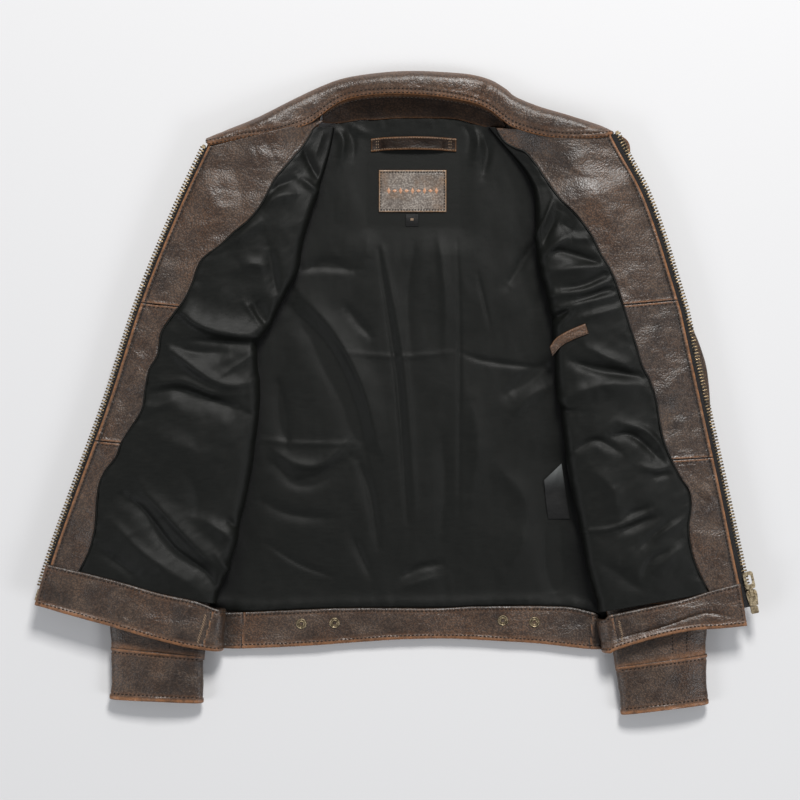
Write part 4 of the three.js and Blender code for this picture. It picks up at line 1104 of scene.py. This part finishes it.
def build_collar():
    for name, (low, high, rides, node) in COLLAR_PIECES.items():
        at = np.linspace(low, high, 200)
        grid = patch(resample(COLLAR_OUTER, at), resample(COLLAR_INNER, at), 1.9, edge=3.0)
        x, y = grid[..., 0], grid[..., 1]
        outer, inner, _, _ = gaps(grid)
        z = collar_height(x) + 3.2 * np.sin(np.pi * np.clip(outer / (outer + inner), 0, 1)) ** 0.8
        z -= 9.0 * np.clip(1 - outer / 9, 0, 1) ** 2
        z += 0.7 * cloudy(x, y, 46, 110, 2) + 0.25 * cloudy(x, y, 13, 113, 2) + folds(x, y, COLLAR_CREASES)
        z += 0.6 * hump(inner, 2.6, 2.0) - 0.55 * hump(inner, 5.4, 1.1)
        z += 0.3 * hump(inner, 8, 1.4) - 0.4 * hump(inner, 10.4, 1.0)
        z += 0.45 * noise(x / 6, y / 8, 115) * hump(inner, 13, 7)
        wear_and_painted_light = 0.3 * near_edges(outer, width=4) + 0.9 * hump(inner, 1.2, 1.6)
        wear_and_painted_light += 0.2 * hump(inner, 5.4, 1.8) + 0.15 * hump(inner, 10.4, 1.8)
        part, upper = solid_open(raised(grid, z), 5.6, 2.8, np.clip(wear_and_painted_light, -1, 1), low == 0, high == 1)
        make(name, part, LEATHER, rides, node)
        rows = [line_on(upper, column_gap=g, last=True) for g in (5.4, 10.4)]
        make(f"{name}_stitches", [stitches(r) for r in rows], THREAD, rides)


def build_neck():
    """The stand, between the collar's seam and the lining, and the three leaves of the fall folded under."""
    upper_edge = resample(COLLAR_INNER, np.linspace(0.285, 0.735, 200))
    lower_edge = curve([(-88, 327), (-66, 327), (-42, 331), (-24, 331), (6, 333), (42, 333), (72, 332),
                        (96, 326), (120, 319), (138, 312)], 200)
    grid = patch(upper_edge, lower_edge, 1.9, edge=1.4)
    x, y = grid[..., 0], grid[..., 1]
    above, below, _, _ = gaps(grid)
    z = 20.5 - 14.5 * step(-6, 26, above) + 0.6 * cloudy(x, y, 30, 120, 2)
    z += 0.4 * hump(above, 2, 1.6) - 0.4 * hump(above, 4.6, 1.0)
    z += 0.35 * noise(x / 7, y / 9, 121) * hump(above, 8, 6)
    wear_and_painted_light = 0.7 * near_edges(above, width=1.3) + 0.3 * near_edges(below, width=1.2)
    part, top = solid(raised(grid, z), 2.2, 1.1, wear_and_painted_light)
    # Painted shade: the stand takes the much darker leather.
    make("neck_stand_leather", part, SHADED_DARK_LEATHER, "back", "collar_stand")
    make("neck_stand_stitches", stitches(line_on(top, column_gap=4.6)), THREAD, "back")
    fall_leaf("left", curve([(-82, 366), (-126, 346), (-198, 312), (-224, 301)]),
              curve([(-98, 300), (-150, 274), (-220, 256), (-238, 268)]))
    fall_leaf("right", curve([(120, 368), (144, 352), (210, 329), (262, 311)]),
              curve([(140, 290), (200, 266), (258, 272), (277, 283)]),
              curve([(262, 311), (272, 309), (280, 302), (282, 291), (277, 283)]))
    fall_leaf("mid",
              curve([(-77, 371), (-52, 379), (-18, 384.5), (24, 387), (60, 385.5), (90, 382.5), (114, 374)]),
              curve([(-77, 340), (-60, 334), (20, 333), (96, 336), (116, 340)]))


def fall_leaf(where, outer, inner, tip=None):
    """A leaf of the fall: flat on the table in the middle, under the collar and the front at the sides."""
    grid = patch(outer, inner, 3.0, edge=1.4, bottom=tip)
    x, y = grid[..., 0], grid[..., 1]
    if where == "mid":
        z, rides, node = 1.2, "back", "collar_fall_middle"
    else:
        z = np.minimum(collar_height(x) - 6.2, front_height(where, x, y, 0) - 6.8)
        rides, node = TURN[where], f"{where}_collar_fall"
    z = z + 0.25 * cloudy(x, y, 40, 130)
    part, _ = solid(raised(grid, z), 2.2, 1.1, near_edges(*gaps(grid), width=2.0))
    # Painted shade: the fall takes the darker copy of the leather.
    make(f"{where}_fall_leather", part, SHADED_COLLAR_LEATHER, rides, node)


# ---- Loop and labels ----
def build_hanger_loop():
    """A strap sewn down at both ends."""
    run = curve([(-29, 300.5, 0), (-18, 301.6, 0.4), (-8, 302.2, 3.2), (22, 302.8, 5.0), (52, 302.2, 3.2),
                 (62, 301.6, 0.4), (74, 300.8, 0)], 120)
    base = 1.6 + np.array([back_height(x, y) for x, y in run[:, :2]]).max()
    centre = np.column_stack([run[:, :2], base + run[:, 2]])
    grid = patch(centre + [0, 7.8, 0], centre - [0, 7.8, 0], 1.2, edge=1.0)
    top, bottom, start, end = gaps(grid)
    grid[..., 2] += 0.3 * hump(top, 1.6, 1.2) + 0.3 * hump(bottom, 1.6, 1.2)
    grid[..., 2] += 0.25 * cloudy(grid[..., 0], grid[..., 1], 14, 140)
    wear_and_painted_light = 0.95 * near_edges(top, bottom, width=1.1) + 0.5 * near_edges(start, end, width=1.0)
    part, upper = solid(grid, 1.9, 0.9, np.clip(wear_and_painted_light, 0, 1))
    make("hanger_strap", part, SHADED_DARK_LEATHER, "back", "hanger_loop")
    rows = [line_on(upper, column_gap=2.3, last=last) for last in (False, True)]
    rows += [line_on(upper, row_gap=g, last=last) for last in (False, True) for g in (7, 9.4)]
    make("hanger_stitches", [stitches(r, 3.2, 2.2, 0.42) for r in rows], PALE_THREAD, "back")


PATCH_LEFT, PATCH_RIGHT, PATCH_LOW, PATCH_HIGH = -19.5, 62.0, 219.0, 271.5
PATCH_LIFT = 1.6
MOTIF_COUNT, MOTIF_PITCH, MOTIF_Y = 9, 7.2, 245.5


def build_patch():
    """The label patch, with a plain embossed band of lozenges."""
    left, right = (np.array([(x, PATCH_HIGH - 1), (x, 250), (x, PATCH_LOW + 1)])
                   for x in (PATCH_LEFT, PATCH_RIGHT))
    grid = patch(left, right, 1.3, edge=1.0)
    x, y = grid[..., 0], grid[..., 1]
    rim = np.minimum(np.minimum.reduce(gaps(grid)), 50)
    z = SEWN_Z + PATCH_LIFT + 0.35 * hump(rim, 1.2, 1.0) - 0.35 * hump(rim, 2.8, 0.8)
    z += 0.3 * cloudy(x, y, 22, 150)
    wear_and_painted_light = 0.95 * near_edges(rim, width=1.0) + 0.25 * step(0.1, 0.8, cloudy(x, y, 16, 151))
    part, upper = solid(raised(grid, z), 1.8, 0.9, np.clip(wear_and_painted_light, 0, 1))
    make("patch_leather_piece", part, PATCH, "back", "brand_patch")
    rows = [line_on(upper, column_gap=3.2, last=last)[4:-4] for last in (False, True)]
    rows += [line_on(upper, row_gap=3.2, last=last)[4:-4] for last in (False, True)]
    make("patch_stitches", [stitches(r, 3.4, 2.5, 0.75) for r in rows], BLACK_THREAD, "back")
    middle = (PATCH_LEFT + PATCH_RIGHT) / 2 - 0.05
    marks = [lozenge(upper, middle + (k - MOTIF_COUNT // 2) * MOTIF_PITCH, k % 2) for k in range(MOTIF_COUNT)]
    make("patch_motif", marks, COPPER, "back")


def lozenge(surface, cx, broad):
    """A low lozenge on the patch's upper grid."""
    wide, tall = (3.0, 2.2) if broad else (2.2, 4.0)
    ring = [(wide * np.sign(math.cos(a)) * math.cos(a) ** 2, tall * np.sign(math.sin(a)) * math.sin(a) ** 2)
            for a in np.linspace(0, 2 * np.pi, 24, endpoint=False)]
    far = [(surface[..., 0] - cx - dx) ** 2 + (surface[..., 1] - MOTIF_Y - dy) ** 2 for dx, dy in ring]
    under = [float(surface[..., 2].flat[f.argmin()]) for f in far]
    steps = ((1, -0.3), (1, 0.12), (0.86, 0.3), (0.02, 0.34))
    return tube(np.array([[[cx + dx * share, MOTIF_Y + dy * share, z + rise]
                           for (dx, dy), z in zip(ring, under)] for share, rise in steps]))


def upright(left, right, high, low, pitch, edge):
    """A grid over a small upright rectangle."""
    sides = (np.array([(x, high), (x, low)]) for x in (left, right))
    return patch(*sides, pitch, edge=edge)


def build_size_tab():
    """A small woven loop of tape below the patch, with a plain bar instead of a letter."""
    grid = upright(13.0, 28.0, 217.4, 202.5, 0.8, 0.5)
    x, y = grid[..., 0], grid[..., 1]
    z = 4.2 + 0.7 * np.sin((217.4 - y) / 14.9 * np.pi) + 0.1 * noise(x / 3, y / 3, 5)
    make("size_tab_cloth", solid(raised(grid, z), 0.7, 0.35)[0], LABEL, "size_tab", "size_tab")
    bar = upright(18.6, 22.4, 212.4, 209.6, 0.6, 0.2)
    make("size_tab_bar", solid(raised(bar, 5.2), 0.4, 0.2)[0], PALE_THREAD, "size_tab")


CARE_LABEL_TOP = -84
CARE_PAINTED_GLINT_LENGTH = 34


def build_care_label():
    """Glossy tape, folded over where it leaves the seam, with a painted highlight near the fold at its top."""
    left = curve([(180, -104), (182, -128), (185, -151)])
    right = curve([(201.2, CARE_LABEL_TOP), (206.3, -118), (211.3, -151)])
    grid = patch(left, right, 1.2, edge=0.6)
    _, from_seam, above, below = gaps(grid)
    z = 4.5 + (2.4 * hump(above, 8, 9) + 0.8 * np.sin(below / 9) * step(0, 20, above)) * step(0, 14, from_seam)
    # Painted highlight: a lighter colour that fades down from the label's top edge.
    painted_glint = np.clip(1 - (CARE_LABEL_TOP - grid[..., 1]) / CARE_PAINTED_GLINT_LENGTH, 0, 1) ** 1.6
    part, _ = solid(raised(grid, z), 0.7, 0.35, painted_glint)
    make("care_label_cloth", part, LABEL, "care_label", "care_label")


# ---- Hem bands of the fronts ----
HEM_GROOVE = [(-2.8, 2.6, 4.0, [(252, -296), (318, -278), (368, -262), (408, -267)]),
              (1.4, 5, 4, [(252, -289), (318, -271), (368, -255), (404, -258)])]
HEM_SEAM_FROM_FOLD = 42


def hem_edge(side, run, x_end, y_end):
    """A hem band's long edge: along the front, then rolled down to the back."""
    way = SIDES[side]
    z = front_height(side, run[:, 0], np.maximum(run[:, 1], -262)) + 0.9
    flat = np.column_stack([run, z])[::12]
    top_z = flat[-1, 2]
    roll = [(x_end + way * 6, y_end, top_z - 1.2), (x_end + way * 1, y_end - 0.4, top_z - 6),
            (x_end - way * 0.6, y_end - 0.8, 19), (x_end + way * 1.5, y_end - 0.8, 12.6),
            (x_end + way * 9, y_end - 0.6, 9.4)]
    return curve(np.vstack([flat, roll]), 500)


def build_front_hem(side):
    way, top, bottom = SIDES[side], FRONTS[side]["hem_top"], FRONTS[side]["hem_bottom"]
    end_x, low_x = (-207, -210) if side == "left" else (245.5, 253)
    grid = patch(hem_edge(side, top, end_x, top[-1, 1] - 3),
                 hem_edge(side, bottom, low_x, bottom[-1, 1] - 0.6), 2.0, edge=2.8)
    x, y = grid[..., 0], grid[..., 1]
    upper_gap, lower_gap, out, fold = gaps(grid)
    seam = span(grid[:, grid.shape[1] // 2]) - HEM_SEAM_FROM_FOLD
    bump = 1.9 * cloudy(x, y, 40, 160 + way, 2) + 0.85 * cloudy(x * 0.6, y, 16, 163, 2)
    bump += 0.22 * cloudy(x, y, 9, 161, 2) + 0.8 * hump(lower_gap, 2.6, 2.2) - 0.6 * hump(lower_gap, 6.4, 1.1)
    bump += 0.5 * hump(upper_gap, 2, 1.7) - 0.45 * hump(upper_gap, 5, 1.1)
    bump += 0.4 * noise(x / 7, y / 10, 162) * (hump(lower_gap, 10, 6) + hump(upper_gap, 9, 6))
    bump -= 0.9 * hump(out, seam, 1.0) + 0.5 * hump(out, 6.0, 1.0)
    if side == "right":
        bump += folds(x, y, HEM_GROOVE)
    grid = grid + facing_up(grid) * bump[..., None]
    # Worn tan along the bottom edge, the stitch rows, the outer end and beside the seam; painted shade along
    # the top edge, in the seam and where the band rolls down at the fold.
    wear_and_painted_light = 1.1 * hump(lower_gap, 1.4, 2.2) + 0.2 * hump(lower_gap, 6.6, 2.2) + 0.15 * hump(upper_gap, 4.8, 2)
    wear_and_painted_light += 0.35 * near_edges(out, width=1.8) - 0.5 * hump(upper_gap, 0.4, 1.0) - 0.9 * step(9, 2, fold)
    wear_and_painted_light += 0.8 * hump(out, seam + 1.6, 0.9) - 1.2 * hump(out, seam, 0.8)
    part, upper = solid(grid, 5.6, 2.8, np.clip(wear_and_painted_light, -1, 1))
    make(f"{side}_hem_leather", part, LEATHER, TURN[side], f"{side}_front_hem_band")
    pale = [stitches(line_on(upper, row_gap=seam + 3.5)[6:-6], 4.2, 2.6, 0.5),
            stitches(line_on(upper, row_gap=seam - 4)[8:-6], 2.6, 3.4, 0.55, skew=0.9)]
    make(f"{side}_hem_tacking", pale, PALE_THREAD, TURN[side])
    rows = [line_on(upper, column_gap=6.8, last=True)[4:-8], line_on(upper, column_gap=5.4)[4:-8],
            line_on(upper, row_gap=6.0)[5:-5]]
    make(f"{side}_hem_stitches", [stitches(r) for r in rows], THREAD, TURN[side])


# ---- Sleeves and cuffs ----
SLEEVES = {
    "left": {
        "outer": curve([(-192, 281), (-239, 239), (-276, 173), (-306, 101), (-328, 17), (-341, -90),
                        (-346, -223), (-341, -309)]),
        "inner": curve([(-168, 59), (-190, -43), (-216, -199), (-230, -320)]),
        "cuff": ((-341.5, -304.5), (-343.5, -366), (-229.5, -315.5), (-231.5, -371)),
    },
    "right": {
        "outer": curve([(204, 281), (258, 245), (300, 191), (332, 137), (357, 83), (375, 30), (381, -50),
                        (379, -190), (374, -318)]),
        "inner": curve([(192, 59), (208, -31), (240, -175), (266, -333)]),
        "cuff": ((374.5, -313), (377.5, -372), (265.5, -328), (272, -385)),
    },
}
SWING = {
    "left": bend("back", "left_sleeve", (-176, 175, 13), (-236, 60, 13)),
    "right": bend("back", "right_sleeve", (192, 175, 13), (252, 60, 13)),
}


def flat_loop(outer, inner, middle, tall, inset=0.0, around=56, power=0.62):
    """Flattened loops between two edges: rows down the sleeve, points around it."""
    angle = np.linspace(0, 2 * np.pi, around, endpoint=False)
    centre, half = (outer + inner) / 2, (outer - inner) / 2
    wide = np.linalg.norm(half, axis=1)
    unit = half / wide[:, None]
    c = np.sign(np.cos(angle)) * np.abs(np.cos(angle)) ** 0.9
    s = np.sign(np.sin(angle)) * np.abs(np.sin(angle)) ** power
    xy = centre[:, None] + unit[:, None] * ((wide - inset)[:, None] * c[None])[..., None]
    return np.dstack([xy, middle + (tall / 2 - inset) * s[None] * np.ones((len(outer), 1))])


SLEEVE_ROWS = 200
SLEEVE_MIDDLE, SLEEVE_TALL = 12.9, 18.6
SLEEVE_LOW, SLEEVE_HIGH = 3.0, 23.6
CUFF_AROUND, CUFF_LENGTH, CUFF_TURN_IN = 72, 60, 2.2


def build_sleeve(side):
    sleeve, way, swing = SLEEVES[side], SIDES[side], SWING[side]
    outer, inner = resample(sleeve["outer"], SLEEVE_ROWS), resample(sleeve["inner"], SLEEVE_ROWS)
    loops = flat_loop(outer, inner, SLEEVE_MIDDLE, SLEEVE_TALL)
    x, y = loops[..., 0], loops[..., 1]
    out = loops - loops.mean(1)[:, None]
    out /= np.linalg.norm(out, axis=2)[..., None]
    wrinkle = 0.9 * cloudy(x, y, 60, 170 + way, 2)
    wrinkle += 0.8 * cloudy(x * 0.5 + y * 0.2, y * 1.6 - x * 0.4, 34, 175 + way)
    wrinkle += 0.35 * cloudy(x, y, 14, 177)
    creases = hump(y - 0.25 * x * way, 40, 5) + hump(y + 0.2 * x * way, 0, 6)
    creases += hump(y, -250, 5) + hump(y + 0.1 * x * way, -262, 6)
    on_top = out[..., 2] > -0.2
    loops = loops + out * ((wrinkle - 0.96 * creases) * on_top * 0.7)[..., None]
    loops[..., 2] = np.clip(loops[..., 2], SLEEVE_LOW, SLEEVE_HIGH)
    share = np.linspace(0, 1, SLEEVE_ROWS)[:, None]
    wear_and_painted_light = 0.28 * hump(np.arange(56)[None] % 28, 0, 1.2) + 0.5 * hump(share * 400, 396, 3)
    ring = loops[:, ::-1] if way > 0 else loops
    make(f"{side}_sleeve_leather", tube(ring, np.clip(wear_and_painted_light, 0, 1)), LEATHER, swing,
         (f"{side}_top_sleeve", f"{side}_under_sleeve"))
    inside = flat_loop(outer, inner, SLEEVE_MIDDLE, SLEEVE_TALL, 2.4, 40)[::3]
    ring = inside if way > 0 else inside[:, ::-1]
    make(f"{side}_sleeve_lining_tube", tube(ring), LINING, swing, f"{side}_sleeve_lining")
    lines = [loops[6:-4, column] + [0, 0, 0.1] for column in ((12, 9) if way > 0 else (16, 19))]
    make(f"{side}_sleeve_stitches", [stitches(line, 4.2) for line in lines], THREAD, swing)
    build_cuff(side)


def build_cuff(side):
    """A band rolled in at its end, seamed to the sleeve."""
    way = SIDES[side]
    (ox, oy), (px, py), (ix, iy), (jx, jy) = SLEEVES[side]["cuff"]
    count = CUFF_LENGTH
    roll = np.linspace(0, np.pi, 7)[1:]
    at = np.concatenate([np.linspace(0, 1, count), np.ones(6), np.linspace(1, 0.1, 26)[1:]])
    turn_in = np.concatenate([np.zeros(count), CUFF_TURN_IN / 2 * (1 - np.cos(roll)),
                              np.full(25, CUFF_TURN_IN)])
    past = np.concatenate([np.zeros(count), np.sin(roll) * 1.2, np.zeros(25)])[:, None] * [0.0, -1.0]
    outer = resample([(ox, oy), (px, py)], at) + past
    inner = resample([(ix, iy), (jx, jy)], at) + past
    loops = flat_loop(outer, inner, 12.6, 22.0, 0.0, CUFF_AROUND, 0.66)
    out = loops - loops.mean(1)[:, None]
    flat = np.linalg.norm(out, axis=2)
    out /= flat[..., None]
    down = at * CUFF_LENGTH
    relief = 0.9 * hump(down, 2.2, 1.8) - 0.6 * hump(down, 5.4, 1.2)
    relief += 0.5 * hump(down, 57, 2.2) - 0.6 * hump(down, 53.5, 1.1)
    relief[count:] = 0
    x, y = loops[..., 0], loops[..., 1]
    outside = (np.arange(len(at)) < count)[:, None]
    bumpy = relief[:, None] + (1.9 * cloudy(x, y, 32, 180 + way, 2) + 0.55 * cloudy(x, y, 12, 181)) * outside
    dish = 1.2 * np.sin(np.pi * np.clip(at, 0, 1))[:, None]
    squeeze = np.minimum(turn_in[:, None], flat * 0.8)
    loops = loops + out * (bumpy - dish - squeeze)[..., None]
    loops[..., 2] = np.clip(loops[..., 2], 0.6, 25.5)
    # Worn tan near both ends and the stitch rows; painted shade right at the seam with the sleeve.
    worn_and_painted_light = 0.9 * hump(down, 1.6, 1.6) - 0.9 * hump(down, 0, 0.8) + 0.2 * hump(down, 5.4, 1.8)
    worn_and_painted_light += 0.2 * hump(down, 53.5, 2.2) + 1.1 * hump(down, 59, 2.2)
    worn_and_painted_light[count + 6:] = 0
    ring = loops[:, ::-1] if way > 0 else loops
    part = tube(ring, np.clip(worn_and_painted_light, -1, 1)[:, None])
    make(f"{side}_cuff_leather", part, LEATHER, f"{side}_sleeve", f"{side}_cuff")
    rows = [loops[int(count * d / 60), 4:32] + [0, 0, 0.15] for d in (5.4, 53.5)]
    make(f"{side}_cuff_stitches", [stitches(r) for r in rows], THREAD, f"{side}_sleeve")


# ---- Pockets, tabs and hardware ----
HAND_WELTS = {"left": (-318, -105), "right": (338, -108)}
HAND_WELT_TILT, HAND_WELT_LENGTH, HAND_WELT_WIDTH = 0.24, 150, 24


def build_pockets():
    edge = curve([(185, 56), (193, 67), (208, 76), (227, 84)])
    lower = curve([(188, 45), (199, 57), (213, 65), (231, 72)])
    grid = patch(edge, lower, 1.1, edge=1.2)
    x, y = grid[..., 0], grid[..., 1]
    top = gaps(grid)[0]
    z = front_height("right", x, y) + 1.9 + 0.5 * hump(top, 1.6, 1.3) + 0.3 * cloudy(x, y, 14, 190)
    part, upper = solid(raised(grid, z), 2.6, 1.3, 0.4 * near_edges(top, width=1.4) + 0.1)
    make("chest_welt_leather", part, LEATHER, TURN["right"], "chest_pocket_welt")
    run = line_on(upper, column_gap=2.6, last=True)
    make("chest_welt_stitches", stitches(run, 3.2, 2.2, 0.36), THREAD, TURN["right"])
    for side, middle in HAND_WELTS.items():
        sine, cosine = math.sin(HAND_WELT_TILT), math.cos(HAND_WELT_TILT)
        half_long = np.array([sine * SIDES[side], -cosine]) * HAND_WELT_LENGTH / 2
        half_wide = np.array([cosine * SIDES[side], sine]) * HAND_WELT_WIDTH / 2
        ends = np.array([middle - half_long, middle + half_long])
        grid = patch(ends - half_wide, ends + half_wide, 2.0, edge=1.2)
        z = front_height(side, grid[..., 0], grid[..., 1]) - SHELL_DROP - 2.4
        part, _ = solid(raised(grid, z), 2.0, 1.0, near_edges(*gaps(grid), width=1.6))
        make(f"{side}_hand_welt_leather", part, LEATHER, TURN[side], f"{side}_hand_pocket_welt")


# The snap's cap and socket: radius and height.
SNAP = [(0.01, 0.35), (4.6, 0.3), (6.0, 0.45), (6.45, 0.8), (6.3, 1.1), (2.0, 1.15), (2.0, 3.5),
        (4.7, 3.5), (5.0, 3.9), (4.9, 5.2), (4.4, 5.55), (2.9, 5.55), (2.6, 5.2), (2.6, 3.95), (0.01, 3.9)]
TAB_HALF_WIDTH = 13
TAB_PAST_STUD = 17


def build_tabs():
    for side, seam_x, (x, y) in (("left", -196, STUDS["left_outer"]), ("right", 232, STUDS["right_outer"])):
        way, body = -SIDES[side], f"{side}_waist_tab"
        tip = x + way * TAB_PAST_STUD
        run = curve([(seam_x, y), ((seam_x + tip) / 2, y), (tip, y)], 60)
        from_tip = np.clip((tip - run[:, 0]) * way, 0, TAB_HALF_WIDTH)
        half = np.minimum(TAB_HALF_WIDTH, np.sqrt(from_tip / TAB_HALF_WIDTH) * TAB_HALF_WIDTH + 0.4)
        across = np.column_stack([0 * half, half])
        grid = patch(run + across, run - across, 1.8, edge=0.9)
        z = 2.3 + 0.2 * cloudy(grid[..., 0], grid[..., 1], 20, 200)
        part, _ = solid(raised(grid, z), 1.8, 0.9, near_edges(*gaps(grid), width=1.4))
        make(f"{side}_tab_leather", part, LEATHER, body, f"{side}_waist_tab")
        make(f"{side}_snap_brass", lathe(SNAP, x, y), BRASS, body, f"{side}_tab_snap")


def dress_cad():
    """The CAD's zip hardware keeps its shape, in tarnished brass."""
    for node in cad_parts.values():
        if not node.hide_render:
            for slot in node.material_slots:
                slot.material = CAD_BRASS


# ---- Stage ----
FLOOR_HALF, FLOOR_Z = 6, -0.0006
WORLD_COLOUR, WORLD_STRENGTH = (0.95, 0.97, 1.0, 1), 0.24
CAMERA_PLACE, CAMERA_LENS = (0.006, -0.0072, 2.69), 100


def build_stage():
    mesh = bpy.data.meshes.new("floor")
    corners = [(x * FLOOR_HALF, y * FLOOR_HALF, FLOOR_Z) for x, y in ((-1, -1), (1, -1), (1, 1), (-1, 1))]
    mesh.from_pydata(corners, [], [(0, 1, 2, 3)])
    floor = bpy.data.objects.new("floor", mesh)
    bpy.context.collection.objects.link(floor)
    look = bpy.data.materials.new("floor")
    look.use_nodes = True
    shader = look.node_tree.nodes["Principled BSDF"]
    shader.inputs["Base Color"].default_value = (0.77, 0.772, 0.785, 1)
    shader.inputs["Roughness"].default_value = 0.9
    shader.inputs["Specular IOR Level"].default_value = 0.1
    mesh.materials.append(look)
    for name, place, size, power, colour in (
        ("key", (0.6, 2.8, 2.95), 1.0, 150, (1.0, 0.985, 0.96)),
        ("fill", (2.4, -1.6, 2.4), 1.4, 28, (0.97, 0.98, 1.0)),
        ("side", (-2.6, -1.3, 2.4), 1.4, 24, (0.97, 0.98, 1.0)),
    ):
        light = bpy.data.lights.new(name, "AREA")
        light.size, light.energy, light.color = size, power, colour
        lamp = bpy.data.objects.new(name, light)
        lamp.location = place
        lamp.rotation_euler = (-Vector(place)).to_track_quat("-Z", "Y").to_euler()
        bpy.context.collection.objects.link(lamp)
    world = bpy.context.scene.world or bpy.data.worlds.new("studio")
    bpy.context.scene.world = world
    world.use_nodes = True
    world.node_tree.nodes["Background"].inputs[0].default_value = WORLD_COLOUR
    world.node_tree.nodes["Background"].inputs[1].default_value = WORLD_STRENGTH
    camera = bpy.data.cameras.new("camera")
    camera.lens = CAMERA_LENS
    camera.clip_end = 50
    eye = bpy.data.objects.new("camera", camera)
    eye.location = CAMERA_PLACE
    bpy.context.collection.objects.link(eye)
    bpy.context.scene.camera = eye
    bpy.context.scene.view_settings.view_transform = "Standard"


build_stage()
build_back()
for side in SIDES:
    build_front(side)
    build_front_hem(side)
    build_sleeve(side)
build_collar()
build_pockets()
build_tabs()
dress_cad()
